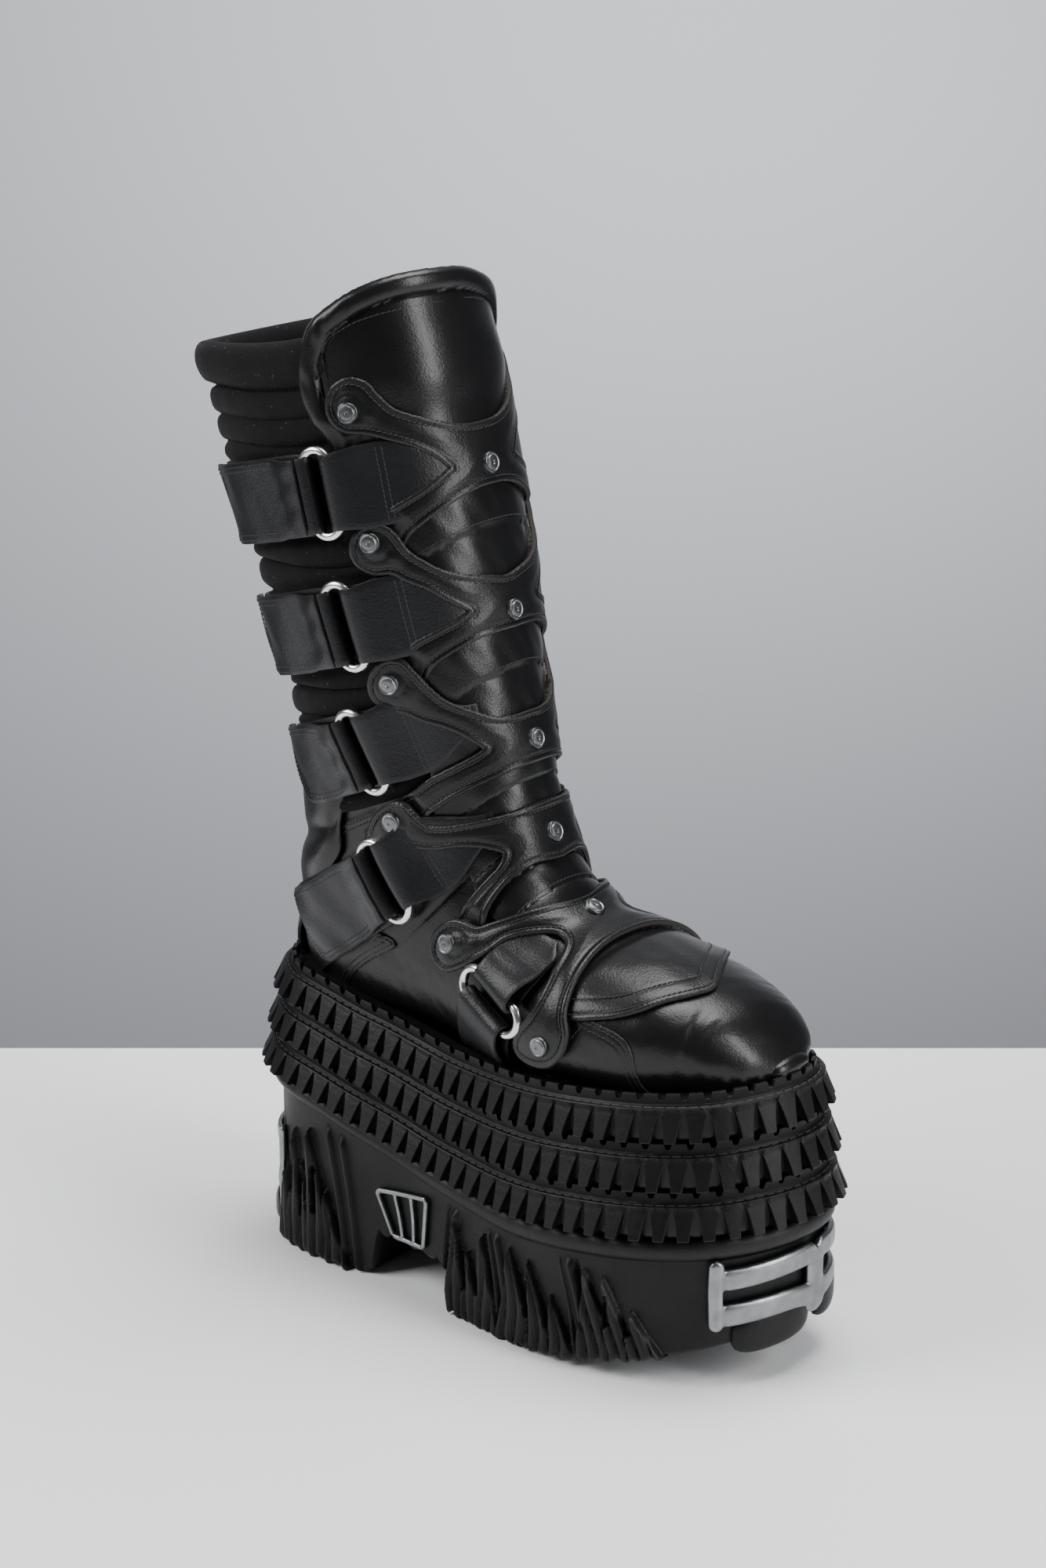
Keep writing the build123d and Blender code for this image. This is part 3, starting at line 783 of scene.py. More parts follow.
def toothed_layer(index):
    """One layer: castellated rim, stitched groove, wedge teeth and undercut, as one closed band."""
    points, normals = outline(LAYER_FLARE * index, step=1.0)
    n = len(points)
    arc = lap_length(points)
    length = arc[-1]
    teeth = int(round(length / TOOTH_PITCH))
    centre = (np.arange(teeth) + 0.5) * length / teeth
    jitter = RNG.normal(0, 1, (teeth, 3))[:, :1]

    def plan_at(s, out):
        """Plan position at a distance round the outline, and the height of the layer's rim there."""
        place = np.interp(s % length, arc, np.arange(n + 1))
        x = ring_position(points, normals, place, np.zeros_like(place))[:, 0]
        step = layer_step(x)
        return ring_position(points, normals, place, out), sole_top(x) - index * step, step

    rows = []
    for kind, out, drop in LAYER_PROFILE:
        pos = np.tile(COLUMNS, (teeth, 1))
        rr = np.full(pos.shape, out)
        dz = np.full(pos.shape, drop)
        if kind == "notch":
            dz = dz + GAP * NOTCH_DEPTH * np.clip(1 - drop / 6, 0, 1)
        if kind == "tooth":
            pos, deep = tooth_columns(drop, jitter)
            rr = np.where(GAP, deep, rr) - 0.28 * CORNER
        s = (centre[:, None] + pos * length / teeth).reshape(-1)
        plan, rim, step = plan_at(s, rr.reshape(-1))
        stretch = step / LAYER_DEPTH if drop > RIM_DROP else 1
        z = rim - dz.reshape(-1) * stretch
        rows.append(np.concatenate([plan, z[:, None]], 1))
    band = Build()
    band.add(rows, grid_faces(len(rows), len(rows[0]), close_cols=True))
    thread = Build()
    count = int(length / STITCH_PITCH)
    for k in range(count):
        s = (k + 0.5) * length / count + np.array([-1.75, 1.75])
        plan, rim, _ = plan_at(s, np.array([2.3, 2.3]))
        a, b = np.concatenate([plan, rim[:, None] - 5.85], 1)
        capsule(thread, a, b, 0.42)
    return band, thread


def capsule(build, a, b, radius, sides=6):
    """Small rounded stick between two points."""
    d = unit(b - a)
    ref = np.array([0, 0, 1.0]) if abs(d[2]) < 0.9 else np.array([1.0, 0, 0])
    u = unit(np.cross(d, ref))
    v = np.cross(d, u)
    ang = circle_angles(sides)
    circle = np.cos(ang)[:, None] * u + np.sin(ang)[:, None] * v
    rings = [(a, -0.9, 0.15), (a, -0.5, 0.75), (a, 0, 1.0), (b, 0, 1.0), (b, 0.5, 0.75), (b, 0.9, 0.15)]
    build.tube([end + d * radius * along + circle * radius * share for end, along, share in rings])


# Tufts of the flame carving: foot of the tuft along the boot, half width, height 0..1, lean in mm
FLAMES = [
    (-131, 7, 0.93, -1), (-122, 6, 0.62, -3), (-113, 6, 0.80, -3), (-105, 6, 0.62, -4), (-95, 9, 0.86, -9),
    (-84, 7, 0.50, -8), (2, 7, 0.90, -2), (13, 7, 0.66, -4), (24, 8, 0.88, -4), (46, 10, 0.90, -7),
    (60, 8, 0.84, -9), (72, 7, 0.58, -6), (93, 9, 0.88, -8), (104, 7, 0.84, -9), (114, 7, 0.56, -6),
]
# Deep round-bottomed slots between tufts: place, low end, high end 0..1
SLOTS = [(-124, 0.28, 0.62), (-116.5, 0.36, 0.66), (-108, 0.24, 0.55), (-98, 0.30, 0.62), (8, 0.26, 0.58),
         (18.5, 0.30, 0.62), (53, 0.30, 0.66), (66, 0.26, 0.55), (98.5, 0.34, 0.66), (109, 0.26, 0.54)]
# Long plain ribs: foot, height, lean
RIBS = [(-78, 0.97, -13), (-70, 0.97, -11), (-9, 0.97, 5), (-3.5, 0.97, 4), (33, 0.97, -9), (38.5, 0.97, -10),
        (81, 0.97, -10), (86, 0.97, -11)]


def wall_relief(x, v):
    """Height of the flame carving on the lower wall; x along the foot, v from 0 at the ground to 1."""
    raised = np.full_like(x, -1e3)  # distance inside the nearest tuft, negative outside
    along = np.zeros_like(x)
    for root, half, top, lean in FLAMES:
        k = np.clip(v / top, 0, 1)
        across = (x - root - lean * k**1.5) / half
        edge = (1 - k) ** 0.7 - np.abs(across) * (0.62 + 0.38 * k)
        beyond = -np.hypot((1 - k) * half, np.maximum(v - top, 0) * 40 + np.abs(across))
        here = np.where(v < top, edge * half, beyond)
        along = np.where(here > raised, across * half, along)
        raised = np.maximum(raised, here)
    step = smoothstep((raised + 0.2) / 1.6)
    strands = np.abs(np.sin(along * 0.5 + 1.1 * np.sin(v * 5 + x * 0.05))) ** 0.8
    fine = np.abs(np.sin(along * 1.9 + 1.3 * np.sin(v * 9 + x * 0.21)))
    h = step * (3.2 + 2.2 * strands + 0.25 * fine - 1.2 * v)
    h = h - 2.3 * bell(raised + 1.1, 1.0) * (v < 0.97)
    for place, low, high in SLOTS:
        lean = -3.0 * (v - low)
        reach = np.clip(np.minimum(v - low, high - v) * 34, -3, 1)
        d = np.abs(x - place - lean)
        deep = smoothstep((1.9 - np.hypot(d, np.minimum(reach - 1, 0) * 1.6)) / 1.1)
        h = h * (1 - deep) - 3.8 * deep
    clear = 1 - step
    for root, top, lean in RIBS:
        centre = root + lean * np.clip(v, 0, 1) ** 1.6
        d = np.abs(x - centre)
        fade = smoothstep((top - v) * 10)
        h = np.maximum(h, 3.0 * bell(d, 2.2) * fade)
        h = h - 2.0 * bell(d - 3.9, 1.1) * clear * fade
    return h


def wall_bottom(x):
    """Ground line of the outsole: heel, raised arch, forefoot with toe spring."""
    arch = smoothstep((x + 63) / 6.5) * smoothstep((-2 - x) / 7.5)
    return ground(x) + arch * (23.5 - 1.5 * smoothstep((x + 50) / 40))


# The rounded band under the layers: outward distance and drop below the last layer
OUTSOLE_BAND = [(-13.0, 0.0), (1.5, 0.2), (3.3, 1.0), (4.6, 2.8), (5.0, 5.0), (4.7, 7.2), (3.6, 9.2), (2.0, 10.4),
                (0.9, 10.9), (0.5, 11.6)]
WALL_ROWS = 86
OUTSOLE_HALF = 720


def outsole_mesh():
    """Rounded band under the layers and the carved wall down to the ground, with its underside."""
    points, normals = outline(6.0, count=2 * OUTSOLE_HALF)
    x = points[:, 0]
    top = sole_top(x) - 3 * layer_step(x)
    deepen = np.interp(x, [-150, -60, 40, 170], [0.7, 0.9, 1.05, 1.05])

    def row(out, z):
        return np.concatenate([points + normals * out, z[:, None]], 1)

    rows = [row(out, top - drop * deepen) for out, drop in OUTSOLE_BAND]
    wall_top = top - 12.2 * deepen
    scallop = np.abs(np.sin(x * 0.34 + 0.9 * np.sin(x * 0.11))) ** 0.7
    bottom = wall_bottom(x) + 3.2 * (1 - scallop) * smoothstep((128 - np.abs(x)) / 8)
    plain = 1 - np.clip(smoothstep((x - 128) / 6) + smoothstep((-127 - x) / 5), 0, 1)  # flat behind the guards
    for f in np.arange(WALL_ROWS + 1) / WALL_ROWS:
        z = wall_top + (bottom - wall_top) * f
        v = (z - ground(x)) / (wall_top - ground(x))
        out = wall_relief(x, v) * plain * smoothstep(f * 12) - 1.2 * smoothstep((f - 0.97) * 33)
        rows.append(row(out[:, None], z))
    wall = np.array(rows)
    # cross-sections from the outer side over the ground to the inner side
    section = []
    for i in range(OUTSOLE_HALF + 1):
        outer, inner = wall[:, i], wall[:, -i]
        across = [outer[-1] * (1 - w) + inner[-1] * w for w in (0.04, 0.3, 0.7, 0.96)]
        section.append(np.concatenate([outer, across, inner[::-1]]))
    section = np.array(section)
    sole = Build()
    sole.add(section, grid_faces(*section.shape[:2]))
    return sole


# ------------------------------------------------------------------ the moulded harness

EARS = [(12.05, -56), (10.95, -58), (9.9, -64), (8.45, -76), (6.0, -74)]
HARNESS_TOPS = [
    [(11.72, 0), (11.74, -10), (11.80, -20), (11.88, -30), (11.97, -38)],
    [(10.53, 0), (10.56, -8), (10.60, -18), (10.68, -30), (10.78, -38), (10.88, -44)],
    [(9.25, 0), (9.25, -8), (9.30, -19), (9.45, -31), (9.62, -42), (9.78, -48)],
    [(7.79, 0), (7.80, -8), (7.83, -20), (7.90, -32), (8.00, -43), (8.12, -54), (8.25, -61)],
    [(5.35, 0), (5.38, -8), (5.45, -17), (5.55, -29), (5.68, -42), (5.82, -53), (5.93, -60)],
]
EAR_EDGES = [
    [(12.10, -43), (12.22, -47), (12.28, -54), (12.24, -61), (12.10, -65.5), (11.95, -65), (11.84, -60), (11.80, -52)],
    [(11.05, -49), (11.13, -55), (11.13, -62), (11.05, -68), (10.94, -70), (10.83, -68), (10.75, -62), (10.73, -54)],
    [(9.95, -53), (10.08, -58), (10.11, -66), (10.03, -74), (9.89, -77), (9.75, -75), (9.66, -70), (9.60, -63)],
    [(8.50, -67), (8.66, -71), (8.74, -78), (8.68, -86), (8.48, -89), (8.28, -86), (8.12, -80), (8.05, -72)],
    [(6.15, -63), (6.36, -67), (6.45, -75), (6.32, -83), (6.08, -88), (5.82, -88), (5.65, -80), (5.56, -71)],
]
NOTCHES = [
    [(11.76, -42), (11.68, -33), (11.57, -24), (11.46, -18), (11.40, -18.5), (11.36, -23), (11.28, -34), (11.21, -45)],
    [(10.69, -47), (10.59, -38), (10.47, -30), (10.36, -21.5), (10.30, -22), (10.26, -28), (10.21, -40), (10.16, -50)],
    [(9.51, -54), (9.39, -45), (9.22, -36), (9.02, -28), (8.95, -28), (8.91, -33), (8.87, -44), (8.83, -56)],
    [(7.85, -60), (7.66, -48), (7.42, -38), (7.10, -29), (6.92, -28), (6.74, -33), (6.58, -44), (6.43, -55)],
    [(5.52, -62), (5.46, -51), (5.32, -41), (5.08, -30), (4.80, -26), (4.56, -28), (4.40, -35), (4.30, -46)],
]
LOBES = [
    [(11.17, -54), (11.12, -63), (11.00, -70.5), (10.88, -71), (10.80, -66), (10.80, -56), (10.90, -47)],
    [(10.12, -59), (10.06, -70), (9.93, -78), (9.79, -77), (9.70, -70), (9.75, -58), (9.84, -50)],
    [(8.78, -67), (8.70, -80), (8.56, -89.5), (8.38, -88), (8.25, -78), (8.28, -67), (8.38, -61)],
    [(6.38, -65), (6.36, -78), (6.20, -87), (5.95, -88), (5.80, -78), (5.80, -66), (5.90, -57)],
    [(4.26, -58), (4.24, -68), (4.28, -79), (4.40, -90), (4.42, -99), (4.30, -107), (4.08, -109), (3.87, -105),
     (3.73, -96), (3.68, -87), (3.70, -80), (3.78, -72)],
]
HARNESS_BOTTOMS = [
    [(10.98, -43), (11.07, -35), (11.15, -24), (11.22, -11), (11.24, 0)],
    [(9.96, -43), (10.03, -33), (10.08, -22), (10.10, -10), (10.10, 0)],
    [(8.43, -54), (8.47, -48), (8.51, -36), (8.54, -22), (8.56, -10), (8.56, 0)],
    [(5.98, -53), (6.06, -49), (6.22, -39), (6.37, -28), (6.40, -16), (6.33, -7), (6.28, 0)],
    [(3.84, -63), (3.90, -52), (3.97, -40), (4.05, -25), (4.10, -12), (4.12, 0)],
]
LOBE_CENTRES = [(10.95, -59), (9.89, -65), (8.45, -77), (6.02, -75), None]


NOTCH_TIGHTEN = 0.03  # stations by which each side of a notch is drawn in, which widens the arms


def harness_half(index):
    """Outline of one saddle from its top at the front, round the ear, notch and lower end, to its bottom."""
    notch = []
    for k, (station, degrees) in enumerate(NOTCHES[index]):
        upper_side = k < len(NOTCHES[index]) / 2
        notch.append((station - NOTCH_TIGHTEN if upper_side else station + NOTCH_TIGHTEN, degrees - 1.5))
    return HARNESS_TOPS[index] + EAR_EDGES[index] + notch + LOBES[index] + HARNESS_BOTTOMS[index]


def near(p, centre, radius, soft=6.0):
    """1 close to either of a mirrored pair of points on the skin, 0 further off."""
    d = np.full(len(p), 1e9)
    for sign in (-1, 1):
        q = base_point(centre[0], abs(centre[1]) * sign)
        d = np.minimum(d, np.linalg.norm(p - q, axis=1))
    return smoothstep((radius + soft - d) / soft), d


HARNESS_FACE = 8.3
HARNESS_SEAM = 3.1
EAR_RISE = 0.7
LOBE_SINK = 3.1


def harness_face(index, p):
    """Face height over skin points, how far they are sunk under the next saddle, and nearness to the ears."""
    ear, ear_distance = near(p, EARS[index], 9)
    sunk = near(p, LOBE_CENTRES[index], 13, 8)[0] if LOBE_CENTRES[index] else np.zeros(len(p))
    return HARNESS_FACE + EAR_RISE * ear - LOBE_SINK * sunk, sunk, ear, ear_distance


def make_harness(index):
    """One moulded saddle of the harness, with its edge stitching."""
    loop = skin_loop(mirrored(harness_half(index)))
    patch = Patch(loop, cell=1.0)
    p, f = patch.base, patch.f
    high, sunk, ear, ear_distance = harness_face(index, p)
    low = 3.3 - 1.2 * sunk
    # a rolled lip at the cut edge, a stitched channel inside it and a fuller middle
    lip = 0.35 * bell(f - 1.3, 0.9)
    full = 0.7 * smoothstep((f - 3.5) / 9.0)
    high = high + lip + groove(f, HARNESS_SEAM, 0.5, 0.65) + full + 0.22 * waves(p, 26, index) * smoothstep(f / 5)
    # a dent round the rivet in each ear and puckers fanning out from it
    around = np.arctan2(p[:, 2] - p[:, 2].mean(), p[:, 0])
    high = high - 0.5 * bell(ear_distance - 5.6, 1.4)
    high = high - 0.16 * ear * np.abs(np.sin(around * 40)) * (ear_distance > 6)
    build = Build()
    patch.solid(build, low, high)
    name = f"harness_{index + 1}"
    build.piece(f"{name}_leather", [LEATHER, EDGE], [name], sharp=55)
    seam = Build()
    path, ok = inset_path(loop, HARNESS_SEAM)
    lift = harness_face(index, base_point(path[:, 0], path[:, 1]))[0]
    stitch_run(seam, path, lift - 0.1, ok, pitch=2.7, length=1.9, radius=0.3)
    seam.stitches(name)


# ------------------------------------------------------------------ tongue, shin shield and flap

TONGUE_HALF = [(12.3, 0), (12.3, -20), (12.2, -38), (11.6, -46), (10.8, -50), (9.6, -54), (8.4, -60), (7.2, -50),
               (6.0, -52), (5.0, -44), (4.2, -40), (3.9, -20), (3.9, 0)]
TONGUE_STEPS = [11.55, 10.92, 10.25, 9.72, 8.95, 8.3, 7.75, 7.0, 6.4, 5.75, 5.2, 4.5]


def tongue_sag(t):
    """How far the panels' edges hang lower at the sides, in stations."""
    return 0.16 * (t / 45) ** 2


def tongue_height(u, t, p):
    """Stepped padded panels, each lapping over the next one down."""
    h = np.full(u.shape, 3.0)
    for upper, lower in zip(TONGUE_STEPS[:-1], TONGUE_STEPS[1:]):
        k = (u + tongue_sag(t) - lower) / (upper - lower)
        inside = (k >= 0) & (k < 1)
        swell = 2.0 * np.sqrt(np.clip(1 - np.abs(2 * k - 0.85) ** 2.6 / 1.9, 0, 1))
        h = np.where(inside, 3.0 + swell, h)
    return h - 0.9 * smoothstep((np.abs(t) - 30) / 25) + 0.25 * waves(p, 17, 5)


def make_tongue():
    loop = skin_loop(mirrored(TONGUE_HALF))
    patch = Patch(loop, cell=1.2)
    high = tongue_height(patch.u, patch.t, patch.base)
    build = Build()
    patch.solid(build, 0.4, high, slots=(0, 0, 0), edge=3.0)
    build.piece("tongue_padding", [SMOOTH_LEATHER, EDGE], ["tongue"], sharp=60, fill=0.7)
    seam = Build()
    for step in TONGUE_STEPS[1:-1]:
        t = np.linspace(-42, 42, 60)
        path = resample_on_skin(np.stack([step - tongue_sag(t) + 0.05, t], 1), 0.8)
        lift = tongue_height(path[:, 0], path[:, 1], base_point(path[:, 0], path[:, 1]))
        stitch_run(seam, path, lift + 0.05)
    seam.stitches("tongue")


# Both outlines run down the outer side from the front, then back up the inner side
SHIELD = [(13.16, 5), (13.22, -8), (13.24, -22), (13.2, -34), (13.1, -46), (12.98, -55), (12.82, -65), (12.62, -71),
          (12.42, -75), (12.20, -76), (12.00, -74.5), (11.84, -71), (11.70, -68), (11.66, -62), (11.68, -50),
          (11.62, -30), (11.60, 0), (11.62, 30), (11.68, 50), (11.66, 62), (11.70, 68), (11.84, 71), (12.00, 70),
          (12.20, 66), (12.44, 58), (12.66, 48), (12.86, 35), (13.02, 20)]
SHIELD_SEAM = 11.2
FLAP = [(4.6, 0), (4.6, -30), (4.3, -60), (4.0, -74), (3.80, -74), (3.55, -69.5), (3.25, -62), (3.0, -51), (2.8, -37),
        (2.6, -24), (2.48, -12), (2.52, -4), (2.72, 6), (2.95, 22), (3.2, 42), (3.5, 60), (3.8, 74), (4.0, 74),
        (4.3, 60), (4.6, 30)]
FLAP_SEAMS = (2.3, 9.0)


def make_shield():
    """Padded shield over the shin, with a fat rolled rim."""
    loop = skin_loop(SHIELD)
    patch = Patch(loop, cell=1.2)
    p, f = patch.base, patch.f
    upper = smoothstep((patch.u - 11.75) / 0.25)
    roll = np.sqrt(np.clip(1 - ((f - 5.2) / 5.6) ** 2, 0, 1))
    high = 5.2 + 3.4 * roll * upper + groove(f, SHIELD_SEAM, 0.8, 0.9) * upper
    high = high + 2.2 * smoothstep((f - 12) / 22) + 0.3 * waves(p, 40, 3)
    wrinkle = 0.35 * np.sin(patch.t * 0.9 + 3 * waves(p, 30, 8)) * bell(f - 6, 4)
    high = high + wrinkle * smoothstep((np.abs(patch.t) - 40) / 15)
    low = 3.1 - 1.6 * smoothstep((patch.u - 12.4) / 0.4) * roll
    build = Build()
    patch.solid(build, low, high, slots=(0, 0, 0), round_edge=3.0, edge=4.5, tuck=0.2, drop=1.4)
    build.piece("shin_shield_leather", [SMOOTH_LEATHER, EDGE], ["shin_shield"], sharp=70, fill=0.6)
    seam = Build()
    path, ok = inset_path(loop, SHIELD_SEAM)
    stitch_run(seam, path, 5.2, ok & (path[:, 0] > 11.9), pitch=2.8, length=2.0, radius=0.32)
    seam.stitches("shin_shield")


def make_flap():
    """Flap at the foot of the tongue, lying over the forefoot."""
    loop = skin_loop(FLAP)
    patch = Patch(loop, cell=1.2)
    p, f = patch.base, patch.f
    edge = smoothstep((4.05 - patch.u) / 0.2)
    high = 4.2 + 1.4 * smoothstep((f - 9.5) / 18) * edge + 0.2 * waves(p, 24, 4)
    for seam_at, depth in zip(FLAP_SEAMS, (0.35, 0.4)):
        high = high + groove(f, seam_at, depth) * edge
    build = Build()
    patch.solid(build, 1.5, high, edge=1.9)
    build.piece("tongue_flap_leather", [LEATHER, EDGE], ["tongue_flap"], sharp=60)
    seam = Build()
    for inset in FLAP_SEAMS:
        path, ok = inset_path(loop, inset)
        stitch_run(seam, path, 4.15, ok & (path[:, 0] < 4.0), pitch=2.7, length=1.9, radius=0.3)
    seam.stitches("tongue_flap")


# ------------------------------------------------------------------ vamp, quarters and heel

QUARTER = [(2.5, -150), (2.72, -120), (2.83, -96), (2.90, -86), (3.02, -78), (3.20, -73), (3.42, -70), (3.62, -67),
           (4.1, -52), (4.8, -42), (5.8, -44), (7.0, -48), (8.0, -56), (8.8, -62), (9.3, -68), (9.42, -80),
           (9.4, -100), (9.3, -130), (9.2, -165), (8.8, -180), (7.4, -180), (5.5, -180), (3.4, -178)]


def sole_angle(u):
    """How far round the skin stays above the platform at each station."""
    t = np.linspace(0, 180, 361)
    out = []
    for station in u:
        low = np.nonzero(above_sole(base_point(station, t)) < 0)[0]
        out.append(t[low[0]] if len(low) else 180.0)
    return np.array(out)


def make_vamp():
    """Smooth toe and forefoot, closed underneath inside the platform."""
    stations = np.concatenate([-np.cos(np.linspace(0, math.pi / 2, 22)[:-1]), np.linspace(0, 4.7, 96)])
    stations[0] = -0.985
    reach = sole_angle(np.maximum(stations, 0.02))
    share = np.linspace(-1, 1, 141)
    uu = np.repeat(stations[:, None], len(share), 1)
    tt = reach[:, None] * share[None]
    base = base_point(uu, tt)
    normal = skin_normal(uu, tt)
    crease = np.zeros_like(uu)
    for k, (at, depth) in enumerate(((2.25, 0.5), (2.05, 0.3), (1.85, 0.2))):
        line = uu - at - 0.10 * np.cos(np.radians(tt) * 2.2 + k)
        crease -= depth * bell(line, 0.05) * smoothstep((np.abs(tt) - 20) / 25)
    puff = 0.5 * waves(base, 60, 11) + 0.12 * waves(base, 14, 12)
    outer = base + normal * (1.1 + puff + crease)[..., None]
    inner = base - normal * 0.7
    rows, cols = uu.shape
    build = Build()
    top = grid_faces(rows, cols)
    build.add(outer, top[:, ::-1])
    n = build.add(inner, top)
    ids = np.arange(n).reshape(rows, cols)
    border = np.concatenate([ids[0], ids[1:, -1], ids[-1, -2::-1], ids[-2:0:-1, 0]]).tolist()
    for a, b in zip(border, border[1:] + border[:1]):
        build.face([a, b, b + n, a + n])
    build.piece("vamp_leather", [SMOOTH_LEATHER], ["vamp"], sharp=60)


QUARTER_SEAMS = (2.0, 4.6)
# Ankle creases where the foot bends: station, depth and the angle at which they are deepest
ANKLE_CREASES = ((7.55, 1.1, 95), (7.9, 0.8, 100), (6.9, 0.7, 75), (8.35, 0.7, 100))


def make_quarter(side, name):
    """One side of the upper, with its double seams and the creases at the ankle."""
    loop = skin_loop(QUARTER if side < 0 else flipped(QUARTER))
    patch = Patch(loop, cell=1.7, trim=above_sole)
    p, u, t, f = patch.base, patch.u, np.abs(patch.t), patch.f
    front = smoothstep((4.0 - u) / 0.2)
    band = smoothstep((u - 8.70) / 0.02)
    high = 1.9 - 0.7 * band * (t > 88) + 0.35 * waves(p, 30, 21) + 0.12 * waves(p, 9, 22)
    for seam_at in QUARTER_SEAMS:
        high = high + groove(f, seam_at, 0.3, 0.5) * front
    for at, depth, deepest in ANKLE_CREASES:
        line = u - at - 0.10 * np.sin(np.radians(t) * 3)
        high = high - depth * bell(line, 0.055) * bell(t - deepest, 22)
    build = Build()
    patch.solid(build, -0.7, high, edge=0.9, tuck=0.2)
    build.piece(f"quarter_{name}_leather", [LEATHER, EDGE], [f"quarter_{name}"], sharp=60)
    seam = Build()
    for inset in QUARTER_SEAMS:
        path, ok = inset_path(loop, inset)
        ok = ok & (path[:, 0] < 3.9) & (above_sole(base_point(path[:, 0], path[:, 1])) > 3)
        stitch_run(seam, path, 1.8, ok)
    for station in (8.67, 8.615):
        stitch_line(seam, [(station, side * 90), (station, side * 108)], 2.1)
    stitch_line(seam, [(3.62, side * 76), (3.74, side * 90), (3.9, side * 108), (4.1, side * 128)], 2.0)
    seam.stitches(f"quarter_{name}")


COUNTER_HALF = [(8.5, -180), (8.45, -150), (8.1, -122), (7.6, -104), (7.1, -93), (6.80, -92), (6.84, -98),
                (6.90, -106), (6.92, -118), (6.84, -136), (6.6, -160), (6.4, -180)]
STAY_HALF = [(9.35, -180), (9.35, -150), (9.32, -118), (9.12, -103), (8.90, -103), (8.72, -105), (8.55, -104),
             (8.40, -104), (8.25, -111), (8.10, -124), (7.85, -142), (7.62, -160), (7.5, -180)]


COUNTER_SEAMS = (1.9, 4.4)


def make_counter():
    """Stiffener round the back of the heel."""
    loop = skin_loop(mirrored(COUNTER_HALF, -180))
    patch = Patch(loop, cell=1.7, trim=above_sole)
    high = 3.0 + 0.4 * waves(patch.base, 34, 31)
    for seam_at in COUNTER_SEAMS:
        high = high + groove(patch.f, seam_at, 0.3, 0.5)
    build = Build()
    patch.solid(build, 1.0, high, edge=1.0, tuck=0.2)
    build.piece("heel_counter_leather", [LEATHER, EDGE], ["heel_counter"], sharp=60)
    seam = Build()
    for inset in COUNTER_SEAMS:
        path, ok = inset_path(loop, inset)
        stitch_run(seam, path, 2.9, ok & (above_sole(base_point(path[:, 0], path[:, 1])) > 2))
    seam.stitches("heel_counter")


def make_back_stay():
    """Padded strip up the back, flaring out over the heel."""
    patch = Patch(skin_loop(mirrored(STAY_HALF, -180)), cell=1.4)
    p, u, f = patch.base, patch.u, patch.f
    flare = 7.5 * smoothstep((8.35 - u) / 0.85) ** 1.2
    pinch = -2.2 * bell(u - 8.74, 0.10)
    puff = 2.6 * smoothstep(f / 9) * smoothstep((u - 8.2) / 0.3)
    high = 4.6 + flare + puff + pinch * smoothstep(f / 6) + 0.4 * waves(p, 30, 41)
    build = Build()
    patch.solid(build, 3.2 + flare * 0.93, high, edge=1.6, tuck=0.3)
    build.piece("back_stay_leather", [LEATHER, EDGE], ["back_stay"], sharp=60)


# ------------------------------------------------------------------ straps, tabs and rings

RINGS = [(11.42, 75), (10.42, 79), (9.36, 86), (7.75, 84), (5.0, 84)]
RING_LEG = 7.75
RING_HALF = 21.0
RING_WIRE = 2.25
LEG_HEIGHT = 9.0
WRAP = 4.45
PLY = 2.0
STRAP_WIDTH = 40.0
STRAP_AT_RING = 36.5
BASE_HEIGHT = 4.55
CREASE_AT = 0.65  # how far behind the ring's leg the crease lies


class Lane:
    """Strip of skin that a strap follows: x backwards in mm from the ring, w upwards across it."""

    def __init__(self, station, degrees, side):
        self.station = station
        self.side = side
        t = np.linspace(0, 300, 601)
        p = base_point(station, t * side)
        s = run_length(p)
        self.t = t
        self.s = s - np.interp(degrees, t, s)

    def place(self, x, w):
        """Station and signed angle at x, w."""
        x, w = np.broadcast_arrays(np.asarray(x, float), np.asarray(w, float))
        u = np.full(x.shape, float(self.station))
        t = np.interp(x, self.s, self.t) * self.side
        for _ in range(4):
            du, dt = skin_axes(u, t)
            across = unit(dt)
            up = unit(du - across * (du * across).sum(-1, keepdims=True))
            u, t = slide(u, t, up * (w / 4)[..., None])
        return u, t

    def point(self, x, w, h):
        u, t = self.place(x, w)
        return skin(u, t, h)

    def normal(self, x, w):
        return skin_normal(*self.place(x, w))

    def x_at(self, degrees):
        return float(np.interp(degrees, self.t, self.s))


def smooth_path(points, step=1.2):
    """Curve in the x, h plane with its normals, from given points."""
    p = resample(catmull(points, 14), step=step)
    tangent = unit(np.gradient(p, axis=0))
    return p, np.stack([-tangent[:, 1], tangent[:, 0]], 1)


def wrap_path(lead, around, tail, centre, step=1.1):
    """Lead, arc round a ring leg (angles in degrees in the x, h plane), then tail."""
    angles = np.radians(np.linspace(*around, 9))
    arc = [(centre[0] + WRAP * math.cos(a), centre[1] + WRAP * math.sin(a)) for a in angles]
    return smooth_path(list(lead) + arc + list(tail), step)


ACROSS = 15  # rows of vertices across a strap


